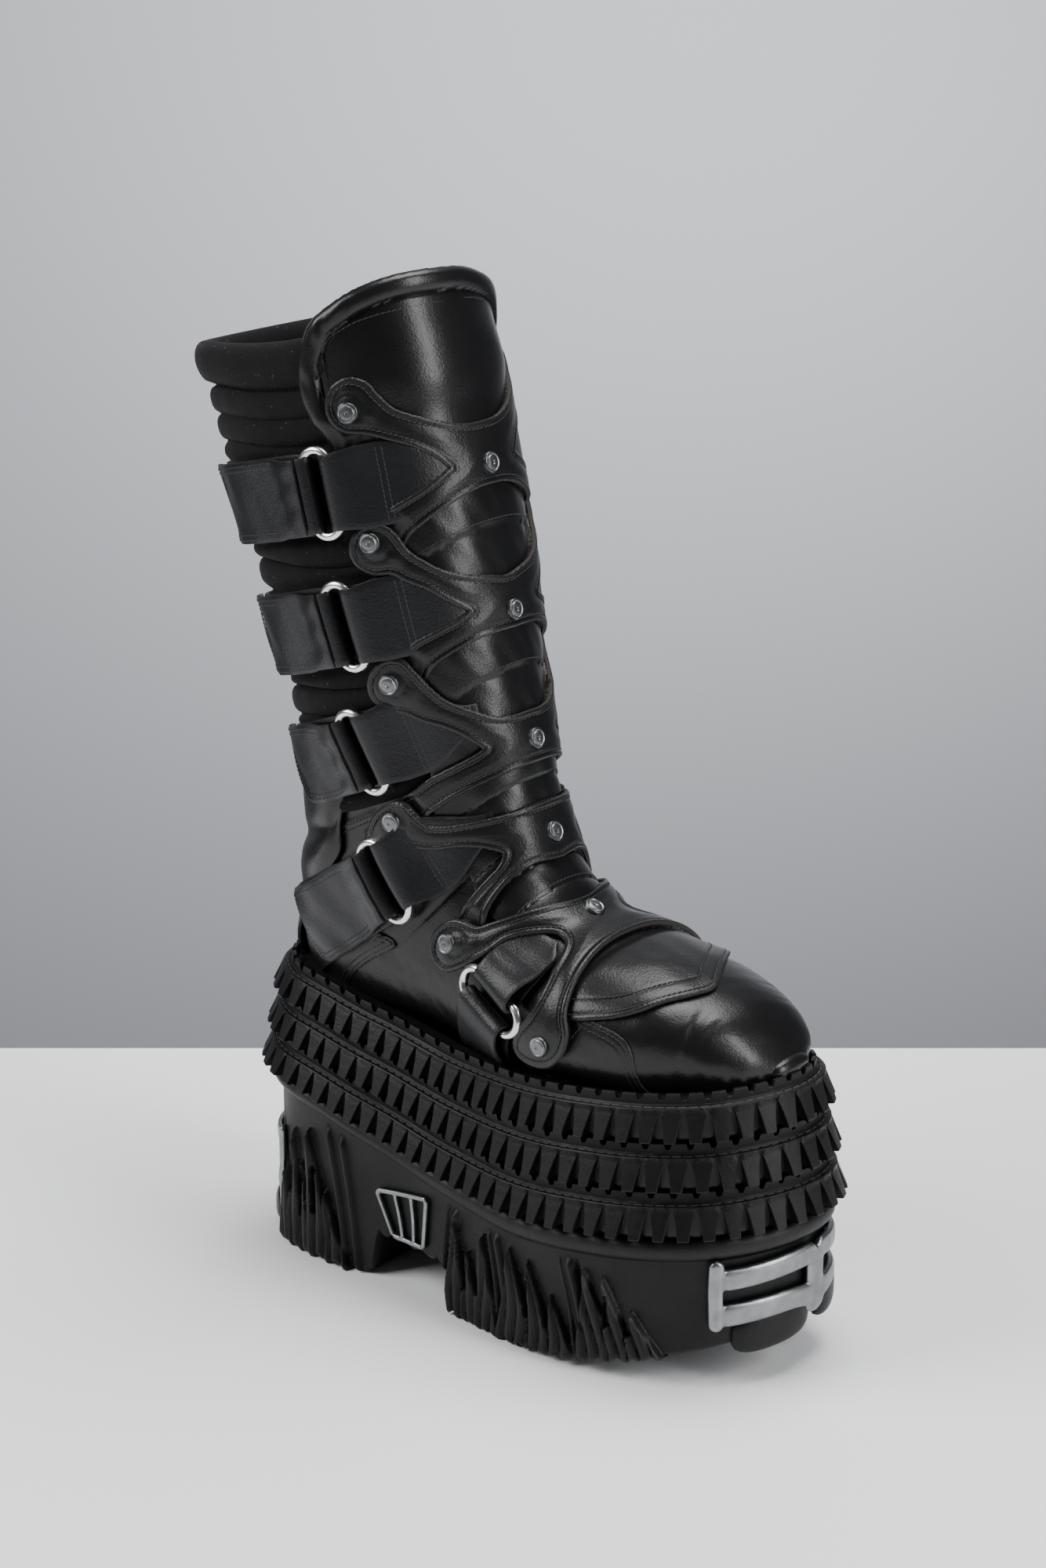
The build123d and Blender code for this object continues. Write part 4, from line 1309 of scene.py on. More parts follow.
def ribbon(build, lane, path, normals, width, thick=PLY, slant=0.0, cut=0.0, relief=None, slots=(0, 1),
           free_from=0.0):
    """Closed strip of leather along a path; its faces take the first slot and its cut edges the second."""
    n = len(path)
    s = run_length(path)
    share = np.linspace(-1, 1, ACROSS)
    share = np.sign(share) * (1 - (1 - np.abs(share)) ** 1.35)
    half = np.broadcast_to(width(s) if callable(width) else width, n) / 2
    low = np.full(n, 1.0)
    if cut:
        low = 1 - np.clip((s - (s[-1] - cut)) / cut, 0, 1) ** 1.6 * (cut * 0.75 / half)
    grow = smoothstep((s - free_from) / max(s[-1] - free_from, 1))
    w = half[:, None] * np.where(share < 0, share * low[:, None], share)
    x = path[:, :1] + slant * grow[:, None] * (w / half[:, None])
    bulge = np.full((n, ACROSS), thick / 2)
    bulge[:, [0, -1]] *= 0.6
    bulge[[0, -1]] *= 0.7
    extra = relief(s[:, None] * np.ones_like(w), w) if relief else 0.0
    outer, inner = [lane.point(x + normals[:, :1] * out, w, path[:, 1:] + normals[:, 1:] * out)
                    for out in (bulge + extra, -bulge)]
    loop = np.concatenate([outer, inner[:, ::-1]], 1)
    m = loop.shape[1]
    faces = grid_faces(n, m, close_cols=True)
    edge = np.isin(np.arange(len(faces)) % m, (ACROSS - 1, m - 1))
    start = build.add(loop, faces[:, ::-1] if lane.side < 0 else faces)
    build.slots[-len(faces):] = [slots[1] if e else slots[0] for e in edge]
    for row, reverse in ((0, lane.side > 0), (n - 1, lane.side < 0)):
        for c in range(ACROSS - 1):
            quad = [row * m + c, row * m + c + 1, row * m + m - 2 - c, row * m + m - 1 - c]
            build.face(quad if reverse else quad[::-1], slots[1], start)
    return half, low, s, path[:, 1] + normals[:, 1] * thick / 2


def lane_stitches(build, lane, xs, ws, hs):
    """Row of stitches through points given along and across a lane."""
    p = resample(np.stack([xs, ws, np.broadcast_to(hs, len(xs))], 1), step=0.8)
    x, w, h = p.T
    stitch_points(build, lane.point(x, w, h), lane.normal(x, w), pitch=2.5, length=1.75, radius=0.27)


# how far back each free end reaches (degrees), how slanted its end is and how much its corner is cut, in mm
STRAP_ENDS = [(141, 3.5, 3.0), (143, 8.0, 5.0), (141, 9.0, 6.0), (131, 6.0, 5.0)]


STRAP_SEAMS = (1.9, 4.3)
CREASE_GAP = 0.85  # half the open crease between a strap's base and its free end


def strap_width(s):
    return STRAP_AT_RING + (STRAP_WIDTH - STRAP_AT_RING) * smoothstep((s - 8) / 14)


def make_strap_base(index):
    """Base of a hook-and-loop strap: from the outer ring round the back of the leg to the inner ring."""
    station, degrees = RINGS[index]
    base = Build()
    for side in (-1, 1):
        lane = Lane(station, degrees, side)
        back = lane.x_at(180) if side < 0 else Lane(station, degrees, -1).x_at(180)
        lead = [(back + 0.6, BASE_HEIGHT), (back * 0.75, BASE_HEIGHT), (back * 0.5, BASE_HEIGHT), (26, BASE_HEIGHT),
                (14, BASE_HEIGHT)]
        crest = (RING_LEG + CREASE_AT - CREASE_GAP, LEG_HEIGHT + WRAP)
        path, normals = wrap_path(lead, (270, 95), [crest], (RING_LEG, LEG_HEIGHT), 2.0)
        ribbon(base, lane, path[::-1], normals[::-1], strap_width)
    base.piece(f"strap_{index + 1}_base", [SOFT_LEATHER, EDGE], [f"strap_base_{index + 1}"], "soft_leather",
               sharp=55)


def make_strap(index):
    """Hook-and-loop strap: its base, and the free end folded back over it."""
    make_strap_base(index)
    station, degrees = RINGS[index]
    stop, slant, cut = STRAP_ENDS[index]
    lane = Lane(station, degrees, -1)
    name = f"strap_{index + 1}"
    body = f"strap_flap_{index + 1}"
    x_end = lane.x_at(stop)
    points = [(RING_LEG + CREASE_AT + CREASE_GAP, LEG_HEIGHT + WRAP), (12.0, 13.0), (16.5, 11.6), (22, 9.9), (29, 8.8),
              (38, 8.35), (x_end * 0.7 + 12, 8.2), (x_end, 8.25)]
    path, normals = smooth_path(points, 1.6)

    def relief(s, w):
        """Pulls at the ring, a dip behind it, uneven leather and edges that curl up."""
        pull = 0.35 * np.sin(w * 0.5 + s * 0.12 + index) * bell(s - 6, 9)
        dip = -0.9 * bell(s - 15, 7) * (1 - (w / 20) ** 2)
        uneven = 0.35 * np.sin(s * 0.16 + w * 0.07 + index * 2) + 0.25 * np.sin(s * 0.31 - w * 0.13 + index)
        curl = 0.9 * smoothstep((np.abs(w) - 12) / 8) * smoothstep((s - 30) / 20)
        return pull + dip + uneven * smoothstep(s / 12) + curl * (0.4 + 0.6 * np.sin(s * 0.11 + index) ** 2)

    flap = Build()
    half, low, s, lift = ribbon(flap, lane, path, normals, strap_width, slant=slant, cut=cut, relief=relief,
                                free_from=18)
    flap.piece(f"{name}_flap", [SOFT_LEATHER, EDGE], [f"strap_end_{index + 1}"], "soft_leather", body,
               sharp=55)

    thread = Build()
    keep = slice(int(len(path) * 0.24), None)
    half, low, s, lift = half[keep], low[keep], s[keep], lift[keep]
    grow = smoothstep((s - 18) / (s[-1] - 18))
    for inset in STRAP_SEAMS:
        last = path[-1, 0] - inset
        top_w = half - inset
        low_w = inset - half * low
        end_w = np.linspace(top_w[-1], low_w[-1], 24)
        top_x, low_x = [np.minimum(path[keep, 0], last) + slant * grow * w / half for w in (top_w, low_w)]
        end_x = last + slant * end_w / half[-1]
        top_h, low_h = [lift + relief(s, w) for w in (top_w, low_w)]
        end_h = lift[-1] + relief(np.full(24, s[-1]), end_w)
        runs = [np.concatenate([top[:-1], end, bottom[-2::-1]])
                for top, end, bottom in ((top_x, end_x, low_x), (top_w, end_w, low_w), (top_h, end_h, low_h))]
        lane_stitches(thread, lane, runs[0], runs[1], runs[2] + 0.08)
    thread.stitches(name, "soft_leather", body)

    loop_nodes = ["loop_patches"] if index == 0 else []
    tapes = ((32, 6.72, 0.66, "hooks", [f"hook_patch_{index + 1}"], body, HOOKS),
             (24, 5.78, 0.36, "loops", loop_nodes, "boot", LOOPS))
    for first, height, thick, kind, nodes, rides, material in tapes:
        x0, x1 = lane.x_at(degrees + first), lane.x_at(stop - 3)
        tape = Build()
        path, normals = smooth_path([(x0, height), ((x0 + x1) / 2, height), (x1, height)], 2.0)
        ribbon(tape, lane, path, normals, STRAP_WIDTH - 6, thick=thick, slots=(0, 0))
        tape.piece(f"{name}_{kind}", [material], nodes, "hook_tape", rides)


# Angle at which each tab meets the notch's point, and the tab's width there in mm
TAB_APEX = [(14, 14), (20, 12), (27, 12), (28, 12), (30, 14)]
TAB_CREASES = [1.0, 0.55, 0.0, 0.0, 0.0]


def make_tab(index, side):
    """Leather tab from under the harness, folded round the front leg of its ring and stitched down."""
    station, degrees = RINGS[index]
    lane = Lane(station, degrees, side)
    short = index == 4
    reach, at_ring, seam_half, seam_height = (24.0, 28.0, 13.5, 7.0) if short else (30.0, STRAP_AT_RING, 17.5, 7.95)
    apex, fan = TAB_APEX[index]
    far = lane.x_at(apex)
    tail = [(-11.5, 12.8), (-16, 11.0), (-21, 9.0), (-26, 7.5), (-30, 6.9), (far * 0.5 - 15, 6.6), (far + 3, 6.3)]
    if short:
        tail = [(-11.5, 12.2), (-14.5, 10.4), (-17.5, 8.0), (-21, 6.4), (-25, 5.9), (far * 0.6, 5.8),
                (far + 2, 5.8)]
    lead = [(far, 4.3), (far * 0.8, 4.5), (far * 0.5, BASE_HEIGHT), (-18, BASE_HEIGHT), (-12, BASE_HEIGHT)]
    path, normals = wrap_path(lead, (-90, 88), tail, (-RING_LEG, LEG_HEIGHT), 1.3)
    run = run_length(path)
    top_ply = len(path) - np.argmax(path[::-1, 0] > -RING_LEG + 1.0)

    def ahead(s):
        return -np.interp(s, run, path[:, 0])

    def width(s):
        x = ahead(s)
        grow = at_ring + 3.0 * smoothstep((x - 8) / 12)
        return grow - (grow - fan) * smoothstep((x - 27) / (-far - 27))

    def relief(s, w):
        """Creases fanning from the ring in the outer ply."""
        x = ahead(s)
        crease = np.zeros_like(s)
        for k in range(7):
            line = x - (15 + 2.1 * k + (0.10 + 0.012 * k) * (w + 16 - 3 * k))
            crease -= (0.32 + 0.1 * (k % 3)) * bell(line, 0.55) * smoothstep((w + 14 - k * 2.5) / 8)
        crease = crease * (TAB_CREASES[index] if side < 0 else 0.5)
        return np.where(s > run[top_ply], crease + 0.22 * np.sin(w * 0.35 + x * 0.25), 0.0)

    tab = Build()
    ribbon(tab, lane, path, normals, width, relief=relief)
    name = f"strap_tab_{index + 1}" if side < 0 else f"strap_tab_inner_{index + 1}"
    node = name if side < 0 else "strap_tabs_inner"
    tab.piece(f"{name}_leather", [SOFT_LEATHER, EDGE], [node], "soft_leather", sharp=55)
    thread = Build()
    ws = np.linspace(-seam_half, seam_half, 30)
    for forward in (0.0, 2.6):
        lane_stitches(thread, lane, np.full(30, forward - reach), ws, seam_height + 0.07 * forward)
    thread.stitches(name, "soft_leather")


def make_sole_strap(side, name):
    """Strap folded round the rear leg of the lowest ring and lasted into the platform."""
    station, degrees = RINGS[4]
    lane = Lane(station, degrees, side)
    far = lane.x_at(137)
    lead = [(far, 3.0), (far * 0.7, 4.0), (22, BASE_HEIGHT), (14, BASE_HEIGHT)]
    tail = [(11.5, 12.9), (16, 11.4), (22, 9.0), (29, 7.0), (far * 0.8 + 4, 5.9), (far, 5.6)]
    path, normals = wrap_path(lead, (270, 92), tail, (RING_LEG, LEG_HEIGHT), 1.4)
    strap = Build()
    ribbon(strap, lane, path, -normals, 30.5)
    strap.piece(f"sole_strap_{name}_leather", [SOFT_LEATHER, EDGE], [f"sole_strap_{name}"], "soft_leather",
                sharp=55)
    thread = Build()
    ws = np.linspace(-14, 14, 24)
    for back in (0, 2.6):
        lane_stitches(thread, lane, np.full(24, lane.x_at(119) - back), ws, 7.3)
    thread.stitches(f"sole_strap_{name}", "soft_leather")


def ring_mesh(build, index, side):
    """Long round-wire ring with half-round ends."""
    station, degrees = RINGS[index]
    u, t = np.array([station]), np.array([float(degrees * side)])
    centre = skin(u, t, LEG_HEIGHT)[0]
    du, dt = skin_axes(u, t)
    back = unit(dt[0]) * side
    up = unit(du[0] - back * (du[0] @ back))
    out = skin_normal(u, t)[0]
    half_turn = np.linspace(0, math.pi, 15)
    turns = np.concatenate([half_turn, half_turn + math.pi])
    rise = np.repeat([RING_HALF - RING_LEG, RING_LEG - RING_HALF], 15)
    path = np.stack([RING_LEG * np.cos(turns), rise + RING_LEG * np.sin(turns)], 1)
    path = resample(path, count=72, closed=True)
    normal = loop_normals(path)
    verts = np.zeros((72, 16, 3))
    for k, a in enumerate(circle_angles(16)):
        flat = path + normal * RING_WIRE * math.cos(a)
        verts[:, k] = centre + flat[:, :1] * back + flat[:, 1:] * up + out * RING_WIRE * math.sin(a)
    faces = grid_faces(72, 16, True, True)
    build.add(verts, faces if side < 0 else faces[:, ::-1])


def make_rings():
    """Rings of the outer side one by one, four of them on their own bodies, and the inner ones together."""
    for index in range(5):
        ring = Build()
        ring_mesh(ring, index, -1)
        body = f"ring_link_{index + 1}" if index < 4 else "boot"
        ring.piece(f"ring_{index + 1}_wire", [NICKEL], [f"ring_{index + 1}"], "nickel", body)
    inner = Build()
    for index in range(5):
        ring_mesh(inner, index, 1)
    inner.piece("rings_inner_wire", [NICKEL], ["rings_inner"], "nickel")


# ------------------------------------------------------------------ rivets

RIVET_EARS = [(12.0, 57), (11.0, 60), (9.9, 66), (8.5, 78), (6.1, 77), (4.0, 92)]
RIVET_FRONT = [11.4, 10.25, 8.9, 7.0, 5.0]


# Radius and height of each turn of the head, from its hidden foot to the dimple in its middle
RIVET_PROFILE = [(5.3, -1.6), (5.3, 0.35), (5.15, 0.8), (4.75, 1.15), (4.3, 1.2), (3.95, 0.95), (3.6, 0.95),
                 (3.3, 1.3), (2.4, 1.5), (1.5, 1.6), (1.15, 1.55), (0.85, 1.15), (0.3, 1.05)]


def rivet(build, station, degrees, height):
    """Domed head with a turned ring and a small centre dimple."""
    u, t = np.array([station]), np.array([float(degrees)])
    base = skin(u, t, height)[0]
    n = skin_normal(u, t)[0]
    a = unit(np.cross(n, np.array([0.0, 0.3, 1.0])))
    b = np.cross(n, a)
    ang = circle_angles(32)
    rows = []
    for r, h in RIVET_PROFILE:
        radius = r * (1 - 0.02 * np.sin(ang * 3 + h)) if r > 4 else r
        rows.append(base + n * h + (np.cos(ang) * radius)[:, None] * a + (np.sin(ang) * radius)[:, None] * b)
    faces = grid_faces(len(rows), 32, close_cols=True)[:, ::-1].tolist()
    last = (len(rows) - 1) * 32
    build.add(np.array(rows), faces + [list(range(last, last + 32)), list(range(32))[::-1]])


def make_rivets():
    places = {
        "outer": [(station, -degrees, 9.2) for station, degrees in RIVET_EARS],
        "inner": [(station, degrees, 9.2) for station, degrees in RIVET_EARS],
        "front": [(station, 0, 9.4) for station in RIVET_FRONT],
    }
    for name, rivets in places.items():
        heads = Build()
        for station, degrees, height in rivets:
            rivet(heads, station, degrees, height)
        heads.piece(f"rivets_{name}_heads", [SILVER], [f"harness_rivets_{name}"], "antique_silver", sharp=35)


# ------------------------------------------------------------------ padded collar, rolls and lining

ROLL_PITCH = 0.236
ROLL_TOP = 12.25
ROLL_FOOT = 8.75
FOOTBED_LIFT = 1.0


def roll_tilt(t):
    return 0.13 * smoothstep((np.abs(t) - 75) / 55)


def strap_cover(u):
    """1 under a strap, 0 well clear of it."""
    return np.max([smoothstep((0.40 - np.abs(u - station)) / 0.10) for station, _ in RINGS[:4]], 0)


def rolls_surface(t, around):
    """Outer face of the stacked rolls."""
    vv, aa = np.meshgrid(np.linspace(ROLL_FOOT, ROLL_TOP, 204), around, indexing="ij")
    tt = np.broadcast_to(t, vv.shape)
    uu = vv + roll_tilt(aa)
    k = (ROLL_TOP - vv) / ROLL_PITCH
    phase = k - np.floor(k)
    swell = np.clip(1 - np.abs(2 * phase - 1) ** 2.6, 0, 1) ** 0.5
    room = 4.9 - 1.9 * strap_cover(uu) - 1.5 * smoothstep((74 - aa) / 9)
    base = base_point(uu, tt)
    height = -0.4 + room * swell * (1 + 0.05 * waves(base, 45, 51)) + 0.15 * waves(base, 18, 52)
    return base + skin_normal(uu, tt) * height[..., None]


def make_rolls():
    """Quilted knit panel round the back: stacked rolls, with a fat collar roll folding over the rim."""
    t = np.linspace(-63, -297, 150)
    around = 180 - np.abs(np.abs(t) - 180)
    rows = list(rolls_surface(t, around))
    # collar roll: out, over and down the inside
    for a in np.linspace(0, 1, 30)[1:]:
        angle = math.radians(-62 + 262 * a)
        station = 12.47 + 0.20 * math.sin(angle) + roll_tilt(around)
        base = base_point(station, t)
        h = 1.2 + 6.0 * math.cos(angle) - 1.2 * smoothstep((78 - around) / 14) + 0.3 * waves(base, 40, 53)
        rows.append(base + skin_normal(station, t) * h[:, None])
    for station in np.linspace(12.3, ROLL_FOOT, 60):
        s = station + roll_tilt(around)
        rows.append(base_point(s, t) - skin_normal(s, t))
    shell = np.array(rows)
    n, m = shell.shape[:2]
    build = Build()
    build.add(shell, grid_faces(n, m, close_rows=True)[:, ::-1])
    for col, reverse in ((0, True), (m - 1, False)):
        ids = [r * m + col for r in range(n)]
        for i in range(n // 2):
            quad = [ids[i], ids[i + 1], ids[-i - 2], ids[-i - 1]]
            if len(set(quad)) == 4:
                build.face(quad if reverse else quad[::-1])
    build.piece("ribbed_collar_knit", [KNIT], ["ribbed_panel"], "neoprene", sharp=75, fill=0.8)
    thread = Build()
    for k in range(15):
        station = ROLL_TOP - k * ROLL_PITCH + roll_tilt(around)
        path = resample_on_skin(np.stack([station, t], 1), 1.2)
        stitch_run(thread, path, -0.15, pitch=3.0, length=2.2, radius=0.22)
    thread.stitches("ribbed_collar", "neoprene")


def make_lining():
    """Knit lining down the inside of the leg and round the foot."""
    t = np.linspace(-180, 180, 121)[:-1]
    outer, inner = [], []
    for station in np.concatenate([np.linspace(12.5, 6.0, 70), np.linspace(5.85, 0.6, 40)]):
        s = station + roll_tilt(t) * smoothstep((station - 11) / 1.5)
        p, n = base_point(s, t), skin_normal(s, t)
        outer.append(p - n * 1.2)
        inner.append(p - n * (4.0 + 0.2 * waves(p, 30, 61))[:, None])
    s = 12.56 + roll_tilt(t)
    lip = [base_point(s, t) - skin_normal(s, t) * depth for depth in (1.6, 2.6, 3.6)]
    shell = np.array(outer[::-1] + lip + inner)
    build = Build()
    build.add(shell, grid_faces(*shell.shape[:2], close_rows=True, close_cols=True)[:, ::-1])
    build.piece("lining_knit", [KNIT], ["liner"], "neoprene", sharp=75)


# Share of the way out from the middle, and height, of each row of the footbed's top
FOOTBED_ROWS = [(0.985, -1.6), (1.0, -0.6), (0.99, 0.6), (0.96, 1.1), (0.85, 0.7), (0.65, 0.25), (0.4, 0.0),
                (0.15, 0.0), (0.02, 0.0)]
BOARD_ROWS = [(0.02, 2.3), (0.6, 2.3), (0.99, 2.3), (1.0, 1.9), (1.0, 0.7), (0.99, 0.4), (0.6, 0.4), (0.02, 0.4)]


def inner_rows(points, table, lift):
    """Rows shrinking towards the middle line of the foot, at heights over the platform's top."""
    rows = []
    for share, height in table:
        p = np.stack([points[:, 0] * share, 1 + (points[:, 1] - 1) * share], 1)
        rows.append(np.concatenate([p, (sole_top(p[:, 0]) + lift + height)[:, None]], 1))
    return rows


def make_footbed():
    """Cupped insole with a rounded edge."""
    rows = inner_rows(outline(-16.5, count=160)[0], FOOTBED_ROWS, FOOTBED_LIFT)
    shell = np.array(rows + [row - np.array([0, 0, 1.8]) for row in rows[::-1]])
    build = Build()
    build.add(shell, grid_faces(*shell.shape[:2], close_rows=True, close_cols=True))
    build.piece("footbed_knit", [KNIT], ["footbed"], "neoprene", sharp=60)


def make_insole_board():
    """Thin stiff board under the footbed."""
    rows = np.array(inner_rows(outline(-18, count=140)[0], BOARD_ROWS, -1.0))
    board = Build()
    board.add(rows, grid_faces(*rows.shape[:2], close_rows=True, close_cols=True)[:, ::-1])
    board.piece("insole_board_sheet", [BOARD], ["insole_board"], "board", sharp=60)


# ------------------------------------------------------------------ guards, bumpers and badges


class Rail:
    """Upright wall along the platform's outline: s in mm round it, z up, out along its normal."""

    def __init__(self, offset, at):
        self.points, self.normals = outline(offset, step=1.0)
        self.arc = lap_length(self.points)
        self.zero = self.arc[np.argmin(np.linalg.norm(self.points - np.array(at), axis=1))]

    def place(self, s, z, out):
        s, z, out = np.broadcast_arrays(s, z, out)
        index = np.interp((s + self.zero) % self.arc[-1], self.arc, np.arange(len(self.arc)))
        plan = ring_position(self.points, self.normals, index, out)
        return np.concatenate([plan, z[..., None]], -1)


def bar(build, rail, path, half, depth, out, sides=20):
    """Rounded bar along a path of (s, z) points on a rail."""
    path = resample(catmull(path, 10), step=0.8)
    tangent = unit(np.gradient(path, axis=0))
    normal = np.stack([-tangent[:, 1], tangent[:, 0]], 1)
    run = run_length(path)
    end = np.minimum(run, run[-1] - run)
    round_end = np.sqrt(np.clip(1 - (1 - np.clip(end / half, 0, 1)) ** 2, 0.02, 1))[:, None]
    ang = circle_angles(sides)
    lateral = half * round_end * signed_power(np.cos(ang), 0.75)
    stand = out + depth * (0.4 + 0.6 * round_end) * signed_power(np.sin(ang), 0.75)
    across = path[:, :, None] + normal[:, :, None] * lateral[:, None]
    build.tube(rail.place(across[:, 0], across[:, 1], stand))


def fuse(build, name, material, size=0.75, smooth=4):
    """Melt overlapping bars into one cast piece."""
    obj = build.make(name, [material])
    melt = obj.modifiers.new("melt", "REMESH")
    melt.mode = "VOXEL"
    melt.voxel_size = size * MM
    melt.use_smooth_shade = True
    soft = obj.modifiers.new("soft", "SMOOTH")
    soft.factor = 0.5
    soft.iterations = smooth
    depsgraph = bpy.context.evaluated_depsgraph_get()
    mesh = bpy.data.meshes.new_from_object(obj.evaluated_get(depsgraph))
    obj.modifiers.clear()
    obj.data = mesh
    if not mesh.materials:
        mesh.materials.append(material)
    mesh.polygons.foreach_set("use_smooth", [True] * len(mesh.polygons))
    return obj


CUSHION_ROWS = (1.0, 0.995, 0.975, 0.94, 0.89, 0.82, 0.72, 0.58, 0.40, 0.20, 0.02)


def bumper(build, rail, span, rise, out, bulge, lean=0.0):
    """Rounded rubber cushion on a rail, over a span along it and a rise in height."""
    ang = circle_angles(56)
    a = signed_power(np.cos(ang), 2 / 3.2)
    b = signed_power(np.sin(ang), 2 / 3.2)

    def row(r, stand):
        s = (span[0] + span[1]) / 2 + (span[1] - span[0]) / 2 * a * r
        z = (rise[0] + rise[1]) / 2 + (rise[1] - rise[0]) / 2 * b * r + lean * a * r
        return rail.place(s, z, stand)

    rows = [row(1.0, out - 1.5)] + [row(r, out + bulge * (1 - r**3.2) ** 0.5) for r in CUSHION_ROWS]
    build.tube(rows, flip=True)


TOE_GUARD_END = 55.0
HEEL_GUARD_END = 49.0


def make_toe_guard():
    """Cast guard round the toe: two long bars, a post in front and one at each end, over two cushions."""
    toe = Rail(6.0, (157, 15))
    end = TOE_GUARD_END
    cast = Build()
    for side in (-1, 1):
        post = [(side * end, 66), (side * (end + 0.6), 50), (side * end, 29)]
        upper = [(side * end, 55), (side * 40, 56), (side * 18, 58), (0, 59)]
        lower = [(side * end, 36.5), (side * 40, 37.5), (side * 18, 38.5), (0, 37)]
        bar(cast, toe, post, 3.6, 2.6, 3.2)
        bar(cast, toe, upper, 5.6, 2.3, 3.0)
        bar(cast, toe, lower, 5.9, 2.3, 3.0)
    bar(cast, toe, [(0, 61), (0, 48), (0, 30)], 6.4, 2.2, 2.9)
    bar(cast, toe, [(-7, 35), (0, 31.5), (7, 35)], 5.0, 2.0, 2.8)
    finish_piece(fuse(cast, "toe_guard_cast", SILVER), "boot", ["toe_guard"])
    for name, span, rise, lean in (("outer", (-47, -3), (16, 37), 2.5), ("inner", (3, 42), (20, 42), 2.0)):
        pad = Build()
        bumper(pad, toe, span, rise, 0.8, 4.6, lean)
        pad.piece(f"toe_pad_{name}_rubber", [SMOOTH_RUBBER], [f"toe_pad_{name}"], "black_rubber", sharp=70)


def make_heel_guard():
    """Cast guard round the heel, over two cushions."""
    heel = Rail(6.0, (-150, 0))
    cast = Build()
    for side in (-1, 1):
        end = side * HEEL_GUARD_END
        bar(cast, heel, [(end, 61), (end, 40), (end, 12)], 2.7, 1.9, 2.0)
        bar(cast, heel, [(end, 55), (side * 26, 54), (0, 54)], 4.2, 1.7, 1.9)
        bar(cast, heel, [(end, 27), (side * 26, 28), (0, 28)], 4.2, 1.7, 1.9)
        bar(cast, heel, [(side * 20, 54), (side * 20, 28)], 4.2, 1.7, 1.9)
    finish_piece(fuse(cast, "heel_guard_cast", SILVER), "boot", ["heel_guard"])
    for side, name in ((1, "outer"), (-1, "inner")):
        pad = Build()
        bumper(pad, heel, sorted((side * 3, side * 43)), (1.0, 20.0), 0.9, 4.9)
        pad.piece(f"heel_pad_{name}_rubber", [GLOSS_RUBBER], [f"heel_pad_{name}"], "black_rubber", sharp=70)


def make_badge(side, name):
    """Plain four-sided frame with two slanted bars on the arch's side."""
    rail = Rail(6.0, (-36, -47 if side < 0 else 44))
    cast = Build()

    def badge_bar(a, b, bow, half, depth, out):
        a, b = np.array(a, float), np.array(b, float)
        a[0], b[0] = -side * a[0], -side * b[0]
        bar(cast, rail, [a, (a + b) / 2 + (bow, 0), b], half, depth, out, sides=12)

    corners = [(-19, 49.5), (16, 54.5), (13.5, 27.5), (-8, 27.5)]
    for a, b in zip(corners, corners[1:] + corners[:1]):
        badge_bar(a, b, 0, 1.3, 1.3, 1.6)
    for top, low in (((-7, 51), (-1.5, 28)), ((4.5, 53), (6.5, 28))):
        badge_bar(top, low, 0.6, 1.1, 1.2, 1.5)
    badge = fuse(cast, f"side_badge_{name}_cast", SILVER, size=0.5, smooth=3)
    finish_piece(badge, "boot", [f"side_badge_{name}"])


# ------------------------------------------------------------------ stage, light and camera

CAMERA_AZIMUTH = math.radians(40)
CAMERA_ELEVATION = math.radians(18)
CAMERA_DISTANCE = 1800.0
CAMERA_TARGET = np.array([-3.0, -2.0, 262.0])
FLOOR_BEHIND = 0.306
WALL_BEHIND = 2.7
FLOOR_COLOUR = (0.90, 0.905, 0.92)
WALL_COLOUR = (0.33, 0.335, 0.36)


def camera_back():
    a, e = CAMERA_AZIMUTH, CAMERA_ELEVATION
    return np.array([math.sin(a) * math.cos(e), -math.cos(a) * math.cos(e), math.sin(e)])


def make_camera():
    data = bpy.data.cameras.new("camera")
    data.lens = 85
    data.sensor_width = 36
    data.clip_start = 0.05
    data.clip_end = 50
    cam = bpy.data.objects.new("camera", data)
    bpy.context.scene.collection.objects.link(cam)
    back = camera_back()
    cam.location = (CAMERA_TARGET + SHIFT + back * CAMERA_DISTANCE) * MM
    cam.rotation_mode = "QUATERNION"
    cam.rotation_quaternion = Vector(-back).to_track_quat("-Z", "Y")
    bpy.context.scene.camera = cam


def area_light(name, place, aim, size, power):
    """Softbox at a place in metres, facing another."""
    data = bpy.data.lights.new(name, "AREA")
    data.shape = "RECTANGLE"
    data.size, data.size_y = size
    data.energy = power
    lamp = bpy.data.objects.new(name, data)
    bpy.context.scene.collection.objects.link(lamp)
    lamp.location = place
    lamp.rotation_mode = "QUATERNION"
    lamp.rotation_quaternion = (Vector(aim) - Vector(place)).to_track_quat("-Z", "Y")


def flat_sheet(name, corners, material):
    mesh = bpy.data.meshes.new(name)
    mesh.from_pydata([tuple(c) for c in corners], [], [(0, 1, 2, 3)])
    mesh.materials.append(material)
    obj = bpy.data.objects.new(name, mesh)
    bpy.context.scene.collection.objects.link(obj)
    return obj


FLOOR_HALF = 4.0
WALL_HALF = 6.0


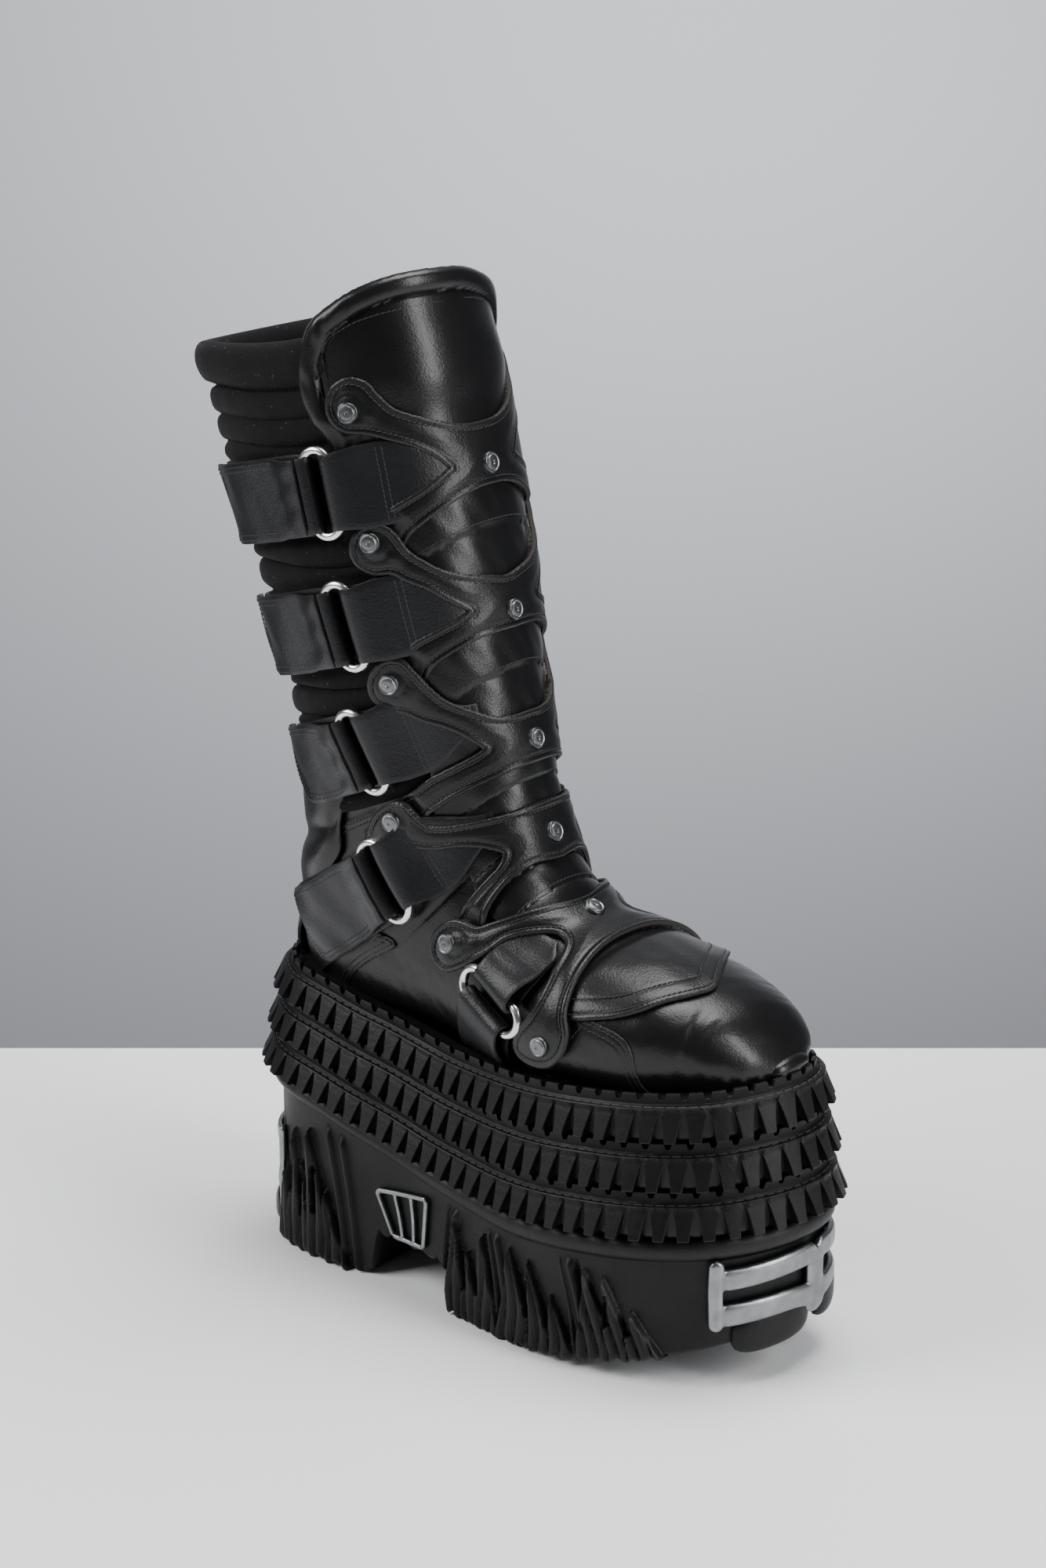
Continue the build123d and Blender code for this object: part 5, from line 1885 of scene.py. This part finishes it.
def make_stage():
    """Pale table with a straight far edge, and a grey wall behind it."""
    back = camera_back()
    flat = unit(np.array([back[0], back[1], 0.0]))
    side = np.array([-flat[1], flat[0], 0.0])
    origin = (CAMERA_TARGET + SHIFT) * MM
    origin[2] = -0.0004
    edge = origin - flat * FLOOR_BEHIND
    near = origin + flat * 3.0
    far = origin - flat * WALL_BEHIND
    across = side * FLOOR_HALF
    floor = flat_sheet("floor", [edge - across, edge + across, near + across, near - across],
                       plain_material("floor_paint", FLOOR_COLOUR, 0.55))
    across = side * WALL_HALF
    low, high = np.array([0, 0, -3.0]), np.array([0, 0, 5.0])
    wall = flat_sheet("backdrop", [far - across + low, far + across + low, far + across + high,
                                   far - across + high], plain_material("backdrop_paint", WALL_COLOUR, 0.9))


def make_world():
    world = bpy.data.worlds.new("studio")
    bpy.context.scene.world = world
    world.use_nodes = True
    background = world.node_tree.nodes["Background"]
    background.inputs[0].default_value = (0.93, 0.95, 1.0, 1)
    background.inputs[1].default_value = 0.10


# ------------------------------------------------------------------ assembly

LAYER_NAMES = ("upper", "middle", "lower")


def make_platform():
    for index, layer_name in enumerate(LAYER_NAMES):
        band, thread = toothed_layer(index)
        band.piece(f"midsole_{layer_name}_rubber", [RUBBER], [f"midsole_{layer_name}"], "black_rubber",
                   sharp=32)
        thread.piece(f"midsole_{layer_name}_stitches", [WELT_THREAD], (), "black_rubber")
    outsole_mesh().piece("outsole_rubber", [RUBBER], ["outsole"], "black_rubber", sharp=50)


make_platform()
for index in range(5):
    make_harness(index)
make_tongue()
make_shield()
make_flap()
make_vamp()
SIDES = ((-1, "outer"), (1, "inner"))
for side, name in SIDES:
    make_quarter(side, name)
make_counter()
make_back_stay()
for index in range(4):
    make_strap(index)
for index in range(5):
    for side in (-1, 1):
        make_tab(index, side)
for side, name in SIDES:
    make_sole_strap(side, name)
make_rings()
make_rivets()
make_rolls()
make_lining()
make_footbed()
make_toe_guard()
make_heel_guard()
for side, name in SIDES:
    make_badge(side, name)
make_insole_board()
make_stage()
make_world()
area_light("key", (-1.5, -1.8, 2.0), (0, 0, 0.25), (1.7, 1.7), 88)
area_light("side", (2.1, 0.2, 1.2), (0, 0, 0.25), (0.6, 1.8), 45)
area_light("top", (0.1, 0.5, 2.5), (0, 0, 0.2), (1.4, 1.4), 70)
area_light("wall_glow", (-0.8, 1.3, 0.2), (-2.2, 2.4, 0.75), (1.2, 0.6), 38)
make_camera()
